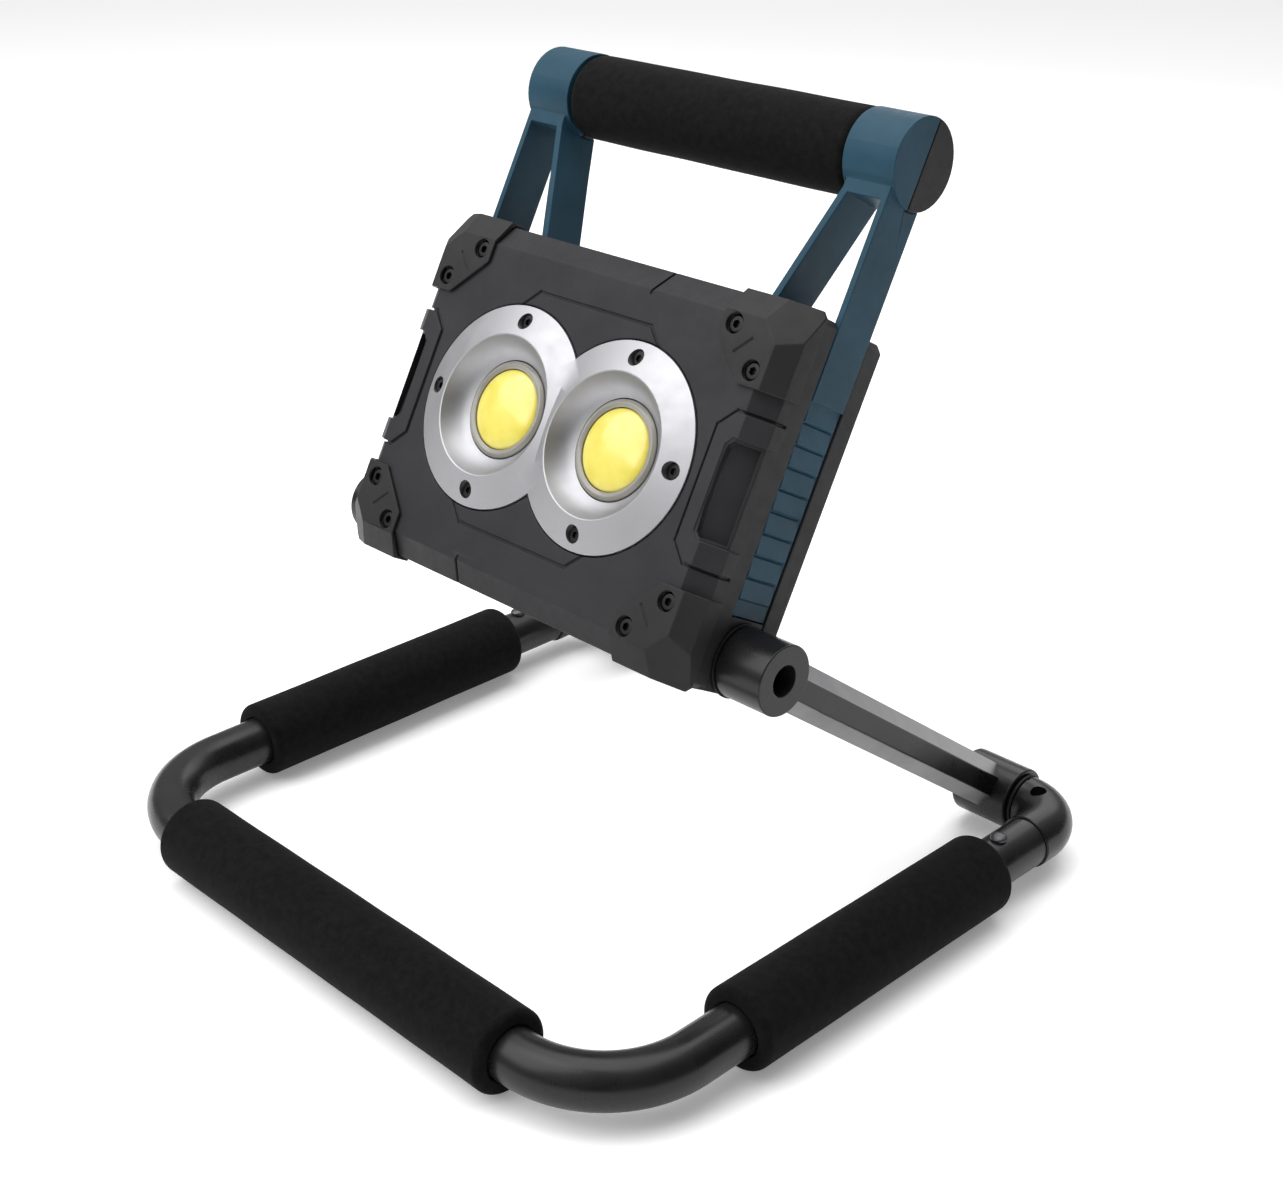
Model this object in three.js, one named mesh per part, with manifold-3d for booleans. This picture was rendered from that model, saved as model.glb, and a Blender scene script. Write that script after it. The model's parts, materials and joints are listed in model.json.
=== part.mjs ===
// Cordless folding work light: a bent-tube floor stand with foam sleeves, two swing arms
// and a tilting lamp head with a foam grip.
//
// Units are millimetres, +Z is up, the lamp shines towards -Y. The origin is on the floor,
// midway along the stand. The head is drawn lying flat with its light facing +Z, about the
// middle of its shell, and the head group then tilts it about the upper pivots.
import * as THREE from "three";
import { mergeVertices } from "three/addons/utils/BufferGeometryUtils.js";
import Module from "manifold-3d";

const wasm = await Module();
wasm.setup();

// ---------------------------------------------------------------- driving dimensions
const GAP = 0.3; // clearance between neighbouring pieces

// Stand
const TUBE_R = 9.35;
const TUBE_BORE_R = 7.85;
const FOAM_R = 14.85; // also the height of the tube's centre line above the floor
const TUBE_X = 130; // half width of the stand, at the tube's centre line
const FRONT_Y = -117;
const REAR_Y = 119.7; // axis of the arms' lower pivots
const CORNER_R = 38;
const TUBE_END_Y = 96;
const FRONT_FOAM_HALF = 89.1;
const SIDE_FOAM_Y0 = -59.4;
const SIDE_FOAM_Y1 = 68.9;
const ELBOW_SECTION_R = 10.1;
const ELBOW_BEND_R = 16;
const STUB_FACE_X = 113.6;
const RIVET_Y = 78.8;

// Arms
const ARM_LENGTH = 164.2; // lower pivot to upper pivot
const ARM_RISE = 36.55; // degrees above the floor at rest
const ARM_INNER_X = 95;
const ARM_OUTER_X = 105.35;
const ARM_HALF_HEIGHT = 8.85;
const ARM_CHAMFER = 5.2;
const BOSS_R = 12.2;
const BOSS_INNER_X = 86.4;
const KNUCKLE_R = 12.2;
const KNUCKLE_X0 = 87.5;
const KNUCKLE_X1 = 111.6;

// Head
const HEAD_TILT = 28.9; // degrees that the face leans back at rest
const HEAD_HALF_W = 85;
const HEAD_HALF_H = 62.3;
const HEAD_CHAMFER = 2;
const INNER_CHAMFER = 9;
const PIVOT_V = -49.8; // pivot axis below the middle of the shell
const FACE_Z = 30.4;
const BEVEL_Z = 24; // where the front shell's bevel starts
const BEVEL_X = 8;
const BEVEL_Y = 8;
const SHELL_Z0 = 10.9;
const SHELL_WALL = 2.6;
const FACE_BACK_Z = 26.2;
const FRAME_Z0 = -7.3;
const FRAME_Z1 = 10.6;
const COVER_Z0 = -17.8;
const COVER_Z1 = -7.6;

// Reflector and light sources
const LAMP_X = 27.34;
const LAMP_V = 0.5;
const PLATE_R = 36.46;
const LIP_R = 25.4;
const LIP_Z = 34;
const PLATE_EDGE_Z = 30.7;
const PLATE_SEAT_Z = 28.75;
const WINDOW_R = 27.9;
const BOWL_R = 17.8;
const SCREW_CIRCLE_R = 30.8;

// Corner guards
const GUARD_TOP_Z = 31.8;
const GUARD_GROW = 1.4;
const GUARD_SCREWS = [
  [61.4, 51.2],
  [74.3, 38.5],
];

// Each front corner is cut off by one slanting facet, which starts in a point on the corner.
const FACET_LEAN = 50.5; // degrees
const FACET_TIP_Z = 19; // on the guards

// Handle
const GRIP_V = 119.2; // grip axis above the middle of the shell
const GRIP_Z = -0.2;
const GRIP_R = 15.2;
const CAP_R = 15.4;
const CAP_INNER_X = 64.9;
const CAP_OUTER_X = 86.15;
const HANDLE_TUBE_R = 9;
const LEG_T = 2.5;
const LEG_ROOF_V = 105.9;

// ---------------------------------------------------------------- solids
function solid(geometry) {
  const flat = geometry.index ? geometry.toNonIndexed() : geometry.clone();
  flat.deleteAttribute("normal");
  flat.deleteAttribute("uv");
  const merged = mergeVertices(flat, 1e-4);
  const triVerts = new Uint32Array(merged.index.array);
  const vertProperties = merged.attributes.position.array;
  return new wasm.Manifold(new wasm.Mesh({ numProp: 3, vertProperties, triVerts }));
}

function geometryOf(shape) {
  const mesh = shape.getMesh();
  const count = mesh.vertProperties.length / mesh.numProp;
  const position = new Float32Array(count * 3);
  for (let i = 0; i < count; i++) {
    const start = i * mesh.numProp;
    position.set(mesh.vertProperties.subarray(start, start + 3), i * 3);
  }
  const geometry = new THREE.BufferGeometry();
  geometry.setAttribute("position", new THREE.BufferAttribute(position, 3));
  geometry.setIndex(new THREE.BufferAttribute(new Uint32Array(mesh.triVerts), 1));
  geometry.computeVertexNormals();
  return geometry;
}

const join = (...shapes) => shapes.reduce((sum, shape) => sum.add(shape));
const cut = (body, ...tools) => tools.reduce((rest, tool) => rest.subtract(tool), body);

function box(x0, x1, y0, y1, z0, z1) {
  const geometry = new THREE.BoxGeometry(x1 - x0, y1 - y0, z1 - z0);
  geometry.translate((x0 + x1) / 2, (y0 + y1) / 2, (z0 + z1) / 2);
  return solid(geometry);
}

// A flat outline, as [x, y] points, made solid between two heights.
function prism(points, z0, z1) {
  const shape = new THREE.Shape(points.map(([x, y]) => new THREE.Vector2(x, y)));
  const geometry = new THREE.ExtrudeGeometry(shape, { depth: z1 - z0, bevelEnabled: false });
  geometry.translate(0, 0, z0);
  return solid(geometry);
}

// A prism whose top end is scaled towards the axis.
function taper(points, z0, z1, scaleX, scaleY) {
  const shape = new THREE.Shape(points.map(([x, y]) => new THREE.Vector2(x, y)));
  const geometry = new THREE.ExtrudeGeometry(shape, { depth: z1 - z0, bevelEnabled: false });
  const position = geometry.attributes.position;
  for (let i = 0; i < position.count; i++) {
    if (position.getZ(i) > (z1 - z0) / 2) {
      position.setX(i, position.getX(i) * scaleX);
      position.setY(i, position.getY(i) * scaleY);
    }
  }
  geometry.translate(0, 0, z0);
  return solid(geometry);
}

// A turned piece about the Z axis. The profile is a list of [radius, height] points.
function turned(profile, segments) {
  const closed = profile[0][0] > 0 && profile[profile.length - 1][0] > 0;
  const loop = closed ? [...profile, profile[0]] : profile;
  const points = loop.map(([r, h]) => new THREE.Vector2(r, h));
  const geometry = new THREE.LatheGeometry(points, segments);
  geometry.rotateX(Math.PI / 2);
  const made = solid(geometry);
  if (made.volume() > 0) return made;
  const flipped = new THREE.LatheGeometry([...points].reverse(), segments);
  flipped.rotateX(Math.PI / 2);
  return solid(flipped);
}

const rod = (radius, z0, z1, segments = 16) =>
  turned([[0, z0], [radius, z0], [radius, z1], [0, z1]], segments);

const at = (shape, x, y, z = 0) => shape.translate([x, y, z]);

// Turns a piece made about Z so that its axis lies along +X.
const alongX = (shape) => shape.rotate([0, 90, 0]);

const mirrorX = (shape) => shape.mirror([1, 0, 0]);
const mirrorY = (shape) => shape.mirror([0, 1, 0]);

function chamferedRect(halfX, halfY, chamfer) {
  return [
    [halfX, -halfY + chamfer],
    [halfX, halfY - chamfer],
    [halfX - chamfer, halfY],
    [-halfX + chamfer, halfY],
    [-halfX, halfY - chamfer],
    [-halfX, -halfY + chamfer],
    [-halfX + chamfer, -halfY],
    [halfX - chamfer, -halfY],
  ];
}

const circle = (radius, sides) =>
  Array.from({ length: sides }, (_, i) => {
    const angle = (2 * Math.PI * (i + 0.5)) / sides;
    return new THREE.Vector2(radius * Math.cos(angle), radius * Math.sin(angle));
  });

// A path with round corners, stepped once along each straight and often round each bend.
class RoundedPath extends THREE.Curve {
  constructor(corners, radius, bendSteps) {
    super();
    this.knots = [];
    const last = corners.length - 1;
    const push = (point, tangent) => this.knots.push({ point, tangent });
    corners.forEach((corner, i) => {
      if (i === 0 || i === last) {
        const other = corners[i === 0 ? 1 : last - 1];
        const tangent = i === 0 ? other.clone().sub(corner) : corner.clone().sub(other);
        push(corner.clone(), tangent.normalize());
        return;
      }
      const arriving = corner.clone().sub(corners[i - 1]).normalize();
      const leaving = corners[i + 1].clone().sub(corner).normalize();
      const start = corner.clone().addScaledVector(arriving, -radius);
      const centre = start.clone().addScaledVector(leaving, radius);
      for (let k = 0; k <= bendSteps; k++) {
        const angle = ((Math.PI / 2) * k) / bendSteps;
        const point = centre.clone();
        point.addScaledVector(leaving, -radius * Math.cos(angle));
        point.addScaledVector(arriving, radius * Math.sin(angle));
        const tangent = arriving.clone().multiplyScalar(Math.cos(angle));
        tangent.addScaledVector(leaving, Math.sin(angle));
        push(point, tangent.normalize());
      }
    });
    this.steps = this.knots.length - 1;
  }

  getPointAt(u) {
    return this.knots[Math.round(u * this.steps)].point.clone();
  }

  getTangentAt(u) {
    return this.knots[Math.round(u * this.steps)].tangent.clone();
  }
}

function tubeAlong(path, radius, boreRadius, sides) {
  const shape = new THREE.Shape(circle(radius, sides));
  if (boreRadius > 0) shape.holes.push(new THREE.Path(circle(boreRadius, 8).reverse()));
  const options = { steps: path.steps, extrudePath: path, bevelEnabled: false };
  const made = solid(new THREE.ExtrudeGeometry(shape, options));
  return made;
}

// ---------------------------------------------------------------- scene graph
const paint = {
  tubeBlack: { color: 0x1c1c1e, roughness: 0.42, metalness: 0.35 },
  armBlack: { color: 0x2a2a2c, roughness: 0.35, metalness: 0.6 },
  plasticBlack: { color: 0x2b2b2d, roughness: 0.55, metalness: 0 },
  plasticBlue: { color: 0x2a5672, roughness: 0.5, metalness: 0 },
  foam: { color: 0x151413, roughness: 1, metalness: 0 },
  steel: { color: 0xb8babd, roughness: 0.3, metalness: 1 },
  darkSteel: { color: 0x19191b, roughness: 0.4, metalness: 0.8 },
  aluminium: { color: 0xc9cacf, roughness: 0.32, metalness: 0.9 },
  rubber: { color: 0x1a1a1a, roughness: 0.8, metalness: 0 },
  phosphor: { color: 0xf6ec6a, roughness: 0.35, metalness: 0 },
  clear: { color: 0xe4e2dc, roughness: 0.1, metalness: 0 },
  board: { color: 0x1f5c3a, roughness: 0.6, metalness: 0 },
  whiteBoard: { color: 0xe8e8e6, roughness: 0.5, metalness: 0 },
  cell: { color: 0x3f7fb0, roughness: 0.4, metalness: 0.1 },
  nylon: { color: 0x202022, roughness: 0.6, metalness: 0 },
};

const light = new THREE.Group();
const stand = new THREE.Group();
const arms = new THREE.Group();
const head = new THREE.Group();
const face = new THREE.Group();

// The arm group's +Y runs from the lower pivot axis up to the upper one.
const riseRad = THREE.MathUtils.degToRad(ARM_RISE);
const pivotY = REAR_Y - ARM_LENGTH * Math.cos(riseRad);
const pivotZ = FOAM_R + ARM_LENGTH * Math.sin(riseRad);
arms.position.set(0, REAR_Y, FOAM_R);
arms.rotation.x = Math.PI - riseRad;

// In the face group X is across the head, Y up the face and Z out of it.
head.position.set(0, pivotY, pivotZ);
head.rotation.x = Math.PI / 2 - THREE.MathUtils.degToRad(HEAD_TILT);
face.position.set(0, -PIVOT_V, 0);
head.add(face);
light.add(stand, arms, head);

function add(parent, name, shape, finish) {
  const mesh = new THREE.Mesh(geometryOf(shape), new THREE.MeshStandardMaterial(finish));
  mesh.name = name;
  parent.add(mesh);
}

function addPair(parent, name, rightShape, finish) {
  add(parent, name + "_right", rightShape, finish);
  add(parent, name + "_left", mirrorX(rightShape), finish);
}

// ---------------------------------------------------------------- stand
function baseTube() {
  const corners = [
    new THREE.Vector3(-TUBE_X, TUBE_END_Y, FOAM_R),
    new THREE.Vector3(-TUBE_X, FRONT_Y, FOAM_R),
    new THREE.Vector3(TUBE_X, FRONT_Y, FOAM_R),
    new THREE.Vector3(TUBE_X, TUBE_END_Y, FOAM_R),
  ];
  const tube = tubeAlong(new RoundedPath(corners, CORNER_R, 7), TUBE_R, TUBE_BORE_R, 16);
  const hole = rod(1.95, FOAM_R, FOAM_R + 12, 8);
  return cut(tube, at(hole, TUBE_X, RIVET_Y), at(hole, -TUBE_X, RIVET_Y));
}

// A foam sleeve about Z with one flat facet facing +X, from height 0 to its length.
function sleeve(length, outerRadius, boreRadius) {
  const sides = 16;
  const r = outerRadius / Math.cos(Math.PI / sides);
  const profile = [
    [boreRadius, 0],
    [r - 2.4, 0],
    [r, 2.4],
    [r, length - 2.4],
    [r - 2.4, length],
    [boreRadius, length],
  ];
  return turned(profile, sides).rotate([0, 0, 180 / sides]);
}

function elbow() {
  const spigot = rod(TUBE_BORE_R - 3 * GAP, TUBE_END_Y - 26, TUBE_END_Y + 2, 12);
  const corners = [
    new THREE.Vector3(TUBE_X, TUBE_END_Y + GAP, FOAM_R),
    new THREE.Vector3(TUBE_X, REAR_Y, FOAM_R),
    new THREE.Vector3(STUB_FACE_X, REAR_Y, FOAM_R),
  ];
  const bend = tubeAlong(new RoundedPath(corners, ELBOW_BEND_R, 6), ELBOW_SECTION_R, 0, 16);
  const spigotInPlace = at(spigot.rotate([-90, 0, 0]), TUBE_X, 0, FOAM_R);
  const thread = at(alongX(rod(4.3, STUB_FACE_X - 1, 123, 12)), 0, REAR_Y, FOAM_R);
  const drain = at(rod(3, FOAM_R + 6.5, FOAM_R + 14, 12), 121.2, 115.5);
  const rivetHole = at(rod(1.95, FOAM_R + 2, FOAM_R + 12, 8), TUBE_X, RIVET_Y);
  return cut(join(bend, spigotInPlace), thread, drain, rivetHole);
}

function tubeRivet() {
  const seat = TUBE_R + GAP;
  const profile = [[0, 2.5], [1.6, 2.5], [1.6, seat], [3.3, seat], [2.7, seat + 1.1], [0, seat + 1.7]];
  return at(turned(profile, 10), TUBE_X, RIVET_Y, FOAM_R);
}

function rearPivotScrew() {
  const profile = [
    [0, KNUCKLE_X0 + 0.5],
    [8, KNUCKLE_X0 + 0.5],
    [8, KNUCKLE_X0 + 4.2],
    [4, KNUCKLE_X0 + 4.2],
    [4, STUB_FACE_X - GAP],
    [3.7, STUB_FACE_X + 0.5],
    [3.7, 122],
    [0, 122],
  ];
  const screw = alongX(turned(profile, 16));
  const socket = alongX(rod(2.9, KNUCKLE_X0, KNUCKLE_X0 + 3, 6));
  return at(cut(screw, socket), 0, REAR_Y, FOAM_R);
}

const frontSleeve = alongX(sleeve(2 * FRONT_FOAM_HALF, FOAM_R, TUBE_R + 0.4));
const sideSleeve = sleeve(SIDE_FOAM_Y1 - SIDE_FOAM_Y0, FOAM_R, TUBE_R + 0.4).rotate([0, 0, 90]);
add(stand, "base_tube", baseTube(), paint.tubeBlack);
add(stand, "foam_front", at(frontSleeve, -FRONT_FOAM_HALF, FRONT_Y, FOAM_R), paint.foam);
addPair(stand, "foam", at(sideSleeve.rotate([90, 0, 0]), TUBE_X, SIDE_FOAM_Y1, FOAM_R), paint.foam);
addPair(stand, "elbow", elbow(), paint.tubeBlack);
addPair(stand, "tube_rivet", tubeRivet(), paint.steel);
addPair(stand, "rear_pivot_screw", rearPivotScrew(), paint.darkSteel);

// ---------------------------------------------------------------- arms
function arm() {
  const flat = ARM_HALF_HEIGHT - ARM_CHAMFER;
  const middle = (ARM_INNER_X + ARM_OUTER_X) / 2;
  const section = [
    [ARM_INNER_X, -flat],
    [middle, -ARM_HALF_HEIGHT],
    [ARM_OUTER_X, -flat],
    [ARM_OUTER_X, flat],
    [middle, ARM_HALF_HEIGHT],
    [ARM_INNER_X, flat],
  ];
  const bar = prism(section, -ARM_LENGTH, 0).rotate([90, 0, 0]);
  const bossProfile = [
    [0, BOSS_INNER_X],
    [BOSS_R, BOSS_INNER_X],
    [BOSS_R, ARM_OUTER_X],
    [0, ARM_OUTER_X],
  ];
  const boss = at(alongX(turned(bossProfile, 24)), 0, ARM_LENGTH);
  const knuckleProfile = [
    [0, KNUCKLE_X0],
    [KNUCKLE_R - 1.2, KNUCKLE_X0],
    [KNUCKLE_R, KNUCKLE_X0 + 1.2],
    [KNUCKLE_R, KNUCKLE_X1],
    [0, KNUCKLE_X1],
  ];
  const knuckle = alongX(turned(knuckleProfile, 20));
  const bushBore = alongX(rod(6.1, KNUCKLE_X0 - 1, KNUCKLE_X1 + 1, 12));
  const headBore = alongX(rod(8.6, KNUCKLE_X0 - 1, KNUCKLE_X0 + 4.5, 12));
  const bossBore = at(alongX(rod(3.5, BOSS_INNER_X - 1, ARM_OUTER_X + 1, 10)), 0, ARM_LENGTH);
  const bossRecess = at(alongX(rod(5.5, 92, ARM_OUTER_X + 1, 14)), 0, ARM_LENGTH);
  return cut(join(bar, boss, knuckle), bushBore, headBore, bossBore, bossRecess);
}

function knuckleBush() {
  const x0 = KNUCKLE_X0 + 4.8;
  const flange = KNUCKLE_X1 + GAP;
  const end = STUB_FACE_X - GAP;
  const profile = [[4.4, x0], [5.5, x0], [5.5, flange], [10.6, flange], [10.6, end], [4.4, end]];
  return alongX(turned(profile, 16));
}

addPair(arms, "arm", arm(), paint.armBlack);
addPair(arms, "knuckle_bush", knuckleBush(), paint.nylon);

// ---------------------------------------------------------------- head shells
const fourCorners = (shape) => {
  const right = join(shape, mirrorY(shape));
  return join(right, mirrorX(right));
};

// The four cutters that leave the slanting facets on a form grown by a distance.
function facetCutters(grow) {
  const size = 80;
  const lean = THREE.MathUtils.degToRad(FACET_LEAN);
  const geometry = new THREE.BoxGeometry(size, size, size);
  geometry.translate(size / 2, 0, 0);
  geometry.rotateY(-lean);
  geometry.rotateZ(Math.PI / 4);
  const plan = (Math.cos(lean) / Math.SQRT2) * (grow - GUARD_GROW);
  const rise = Math.sin(lean) * (grow - GUARD_GROW);
  const tipX = HEAD_HALF_W + GUARD_GROW;
  const tipY = HEAD_HALF_H + GUARD_GROW;
  return fourCorners(at(solid(geometry), tipX + plan, tipY + plan, FACET_TIP_Z + rise));
}

// The outer form of the front shell, grown outwards all round by a distance.
function envelope(grow, z0, top = FACE_Z + grow) {
  const halfX = HEAD_HALF_W + grow;
  const halfY = HEAD_HALF_H + grow;
  const outline = chamferedRect(halfX, halfY, HEAD_CHAMFER);
  const scaleX = (halfX - BEVEL_X) / halfX;
  const scaleY = (halfY - BEVEL_Y) / halfY;
  const sides = prism(outline, z0, BEVEL_Z + grow);
  const crown = taper(outline, BEVEL_Z + grow, top, scaleX, scaleY);
  return cut(join(sides, crown), facetCutters(grow));
}

// A straight groove tool between two points of the face.
function strip([x0, y0], [x1, y1], width, z0, z1) {
  const length = Math.hypot(x1 - x0, y1 - y0) + width;
  const geometry = new THREE.BoxGeometry(length, width, z1 - z0);
  geometry.rotateZ(Math.atan2(y1 - y0, x1 - x0));
  geometry.translate((x0 + x1) / 2, (y0 + y1) / 2, (z0 + z1) / 2);
  return solid(geometry);
}

// Each side carries a raised C-shaped rib round a pocket, set off by a groove.
const RIB_OUTLINE = [
  [68, -19.5],
  [74, -25.5],
  [90, -25.5],
  [90, -17],
  [76.5, -17],
  [74, -14.5],
  [74, 14.5],
  [76.5, 17],
  [90, 17],
  [90, 25.5],
  [74, 25.5],
  [68, 19.5],
];
const POCKET_OUTLINE = [[74.6, -13.6], [76.6, -16], [84, -16], [84, 16], [76.6, 16], [74.6, 13.6]];

const GROOVE_DEPTH = 0.8;
const POCKET_DEPTH = 1.7;

function groove(points, width) {
  const ends = points.slice(1);
  return join(...ends.map((end, i) => strip(points[i], end, width, FACE_Z - 12, FACE_Z + 2)));
}

// A hexagon frames the reflector, open where the rings cross it.
function grooves() {
  const hexagon = groove([[-33.5, 36], [-27, 42.2], [27, 42.2], [33.5, 36]], 1.1);
  const besideRib = groove(RIB_OUTLINE.slice(-4).concat(RIB_OUTLINE.slice(0, 3)), 1);
  const frame = at(join(hexagon, mirrorY(hexagon)), 0, LAMP_V);
  const all = join(frame, besideRib, mirrorX(besideRib));
  return all.subtract(envelope(-GROOVE_DEPTH, 0));
}

function frontHousing() {
  const outer = envelope(0, SHELL_Z0);
  const wallX = HEAD_HALF_W - SHELL_WALL;
  const wallY = HEAD_HALF_H - SHELL_WALL;
  const innerOutline = chamferedRect(wallX, wallY, INNER_CHAMFER);
  const inner = join(
    prism(innerOutline, SHELL_Z0 - 1, 22),
    taper(innerOutline, 22, FACE_BACK_Z, 76.5 / wallX, 54 / wallY),
  );
  const rib = prism(RIB_OUTLINE, SHELL_Z0 + 8, FACE_Z + 5).intersect(envelope(1, SHELL_Z0, FACE_Z + 0.4));
  const pocket = prism(POCKET_OUTLINE, BEVEL_Z - 4, FACE_Z + 5).subtract(envelope(-POCKET_DEPTH, 0));
  const lug = join(
    box(77.9, 84.6, -62, -36.5, FRAME_Z0 + GAP, FRAME_Z1),
    box(82.4, 84.6, -62, -36.5, FRAME_Z1 - 1, SHELL_Z0 + 1.5),
  );
  const window = join(
    at(rod(WINDOW_R, FACE_BACK_Z - 2, FACE_Z + 2, 36), LAMP_X, LAMP_V),
    at(rod(PLATE_R + 0.5, PLATE_SEAT_Z - GAP, FACE_Z + 2, 64), LAMP_X, LAMP_V),
  );
  const screwPosts = GUARD_SCREWS.map(([x, y]) => at(rod(3.4, 20.5, FACE_BACK_Z + 1, 8), x, y));
  const sinkPost = at(rod(3, 21.8, FACE_BACK_Z + 1, 8), 58, 24);
  const posts = fourCorners(join(...screwPosts, sinkPost));
  const screwBores = GUARD_SCREWS.map(([x, y]) =>
    at(join(rod(3.5, 27.6, FACE_Z + 3, 16), rod(1.8, 21.5, 29, 8)), x, y),
  );
  const pivotBore = alongX(rod(3.5, 70, 90, 10));
  const hollow = cut(outer, inner, window, mirrorX(window));
  const ribs = join(rib, mirrorX(rib));
  const lugs = join(lug, mirrorX(lug));
  // A short step line crosses the top bevel and, turned half round, the bottom bevel.
  const step = strip([22, 53], [24, 64], 1, BEVEL_Z - 0.5, FACE_Z + 2).subtract(envelope(-0.7, 0));
  let shell = join(hollow, ribs, lugs, posts).subtract(join(pocket, mirrorX(pocket)));
  shell = cut(shell, grooves(), step, step.rotate([0, 0, 180]));
  shell = cut(shell, fourCorners(join(...screwBores)));
  for (const spot of plateScrewSpots) shell = shell.subtract(at(rod(1.75, 24, 31, 8), ...spot));
  return cut(shell, at(pivotBore, 0, PIVOT_V), at(mirrorX(pivotBore), 0, PIVOT_V));
}

// The reflector plate's screws: top, outer side and bottom of each ring.
const plateScrewSpots = [-1, 1].flatMap((side) =>
  [90, 0, -90].map((degrees) => {
    const angle = THREE.MathUtils.degToRad(degrees);
    const x = side * (LAMP_X + SCREW_CIRCLE_R * Math.cos(angle));
    return [x, LAMP_V + SCREW_CIRCLE_R * Math.sin(angle)];
  }),
);

function handleFrame() {
  const outline = chamferedRect(84.1, 61.9, 3);
  const ring = prism(outline, FRAME_Z0, FRAME_Z1);
  const inner = prism(chamferedRect(81.4, 58.7, 2), FRAME_Z0 - 1, FRAME_Z1 - 3);
  const mouth = prism(chamferedRect(78.6, 55.9, 2), FRAME_Z0 - 1, FRAME_Z1 + 1);
  const lugSpace = box(77.6, 90, -70, -36.2, FRAME_Z0 - 1, FRAME_Z1 + 1);
  const block = join(
    box(68, 77.6, -61.9, -33.2, FRAME_Z0, FRAME_Z1),
    box(68, 84, -36.2, -33.2, FRAME_Z0, FRAME_Z1),
  );
  const bore = at(alongX(rod(3.4, 60, 80, 10)), 0, PIVOT_V);

  // Sawtooth panels down each side of the band.
  const PANEL_COUNT = 9;
  const PANEL_PITCH = 7.5;
  const PANEL_BOTTOM_V = -31;
  const panels = Array.from({ length: PANEL_COUNT }, (_, i) => {
    const v0 = PANEL_BOTTOM_V + i * PANEL_PITCH;
    const v1 = v0 + PANEL_PITCH;
    const outlineOfPanel = [[83, v0], [85.1, v0 + 0.8], [84.4, v1], [83, v1]];
    return prism(outlineOfPanel, FRAME_Z0 + 1.4, FRAME_Z1);
  });
  const plainBand = box(83, 85.1, PANEL_BOTTOM_V + PANEL_COUNT * PANEL_PITCH, 56, FRAME_Z0, FRAME_Z1);

  // A-shaped bracket: upright outer leg, slanting inner leg and the roof under the cap.
  const rootV = 60;
  const outerLeg = box(85.1 - LEG_T, 85.1, 53, LEG_ROOF_V, FRAME_Z0, FRAME_Z1);
  const slant = [[52.6, rootV], [55.5, rootV], [69.4, LEG_ROOF_V - 1], [66.5, LEG_ROOF_V - 1]];
  const innerLeg = prism(slant, FRAME_Z0, FRAME_Z1);
  const roof = box(66.5, 85.1, LEG_ROOF_V - LEG_T, LEG_ROOF_V + 8, FRAME_Z0, FRAME_Z1);
  const cap = at(alongX(rod(CAP_R, CAP_INNER_X, CAP_OUTER_X, 40)), 0, GRIP_V, GRIP_Z);
  const behind = box(CAP_INNER_X - 1, 90, GRIP_V - 30, GRIP_V + 30, GRIP_Z - 30, GRIP_Z);
  const frontHalf = cap.subtract(behind);
  const capSpace = at(alongX(rod(CAP_R + GAP, CAP_INNER_X - 1, 90, 40)), 0, GRIP_V, GRIP_Z);
  const rearSpace = capSpace.intersect(behind);
  const tubeBore = alongX(rod(HANDLE_TUBE_R + GAP, CAP_INNER_X - 1, 84, 16));
  let side = join(block, ...panels, plainBand, outerLeg, innerLeg, roof, frontHalf);
  side = cut(side, rearSpace, at(tubeBore, 0, GRIP_V, GRIP_Z));

  const band = cut(ring, inner, mouth, lugSpace, mirrorX(lugSpace));
  return cut(join(band, side, mirrorX(side)), bore, mirrorX(bore));
}

function handleCap() {
  const whole = alongX(rod(CAP_R, CAP_INNER_X, CAP_OUTER_X, 40));
  const front = box(CAP_INNER_X - 1, 90, -30, 30, -GAP, 30);
  const tubeBore = alongX(rod(HANDLE_TUBE_R + GAP, CAP_INNER_X - 1, 84, 16));
  return at(cut(whole, front, tubeBore), 0, GRIP_V, GRIP_Z);
}

function handleTube() {
  const half = 83.6;
  const bore = HANDLE_TUBE_R - 1.5;
  const profile = [[bore, -half], [HANDLE_TUBE_R, -half], [HANDLE_TUBE_R, half], [bore, half]];
  return at(alongX(turned(profile, 16)), 0, GRIP_V, GRIP_Z);
}

function gripFoam() {
  const half = CAP_INNER_X - GAP;
  const made = alongX(sleeve(2 * half, GRIP_R, HANDLE_TUBE_R + 0.4));
  return at(made, -half, GRIP_V, GRIP_Z);
}

const BUTTON_V = -20;
const SOCKET_X = 38;
const FLAP_HALF_W = 9;
const FLAP_TOP_V = BUTTON_V + 6;
const FLAP_HINGE_Z = COVER_Z0 + 0.5;

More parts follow.
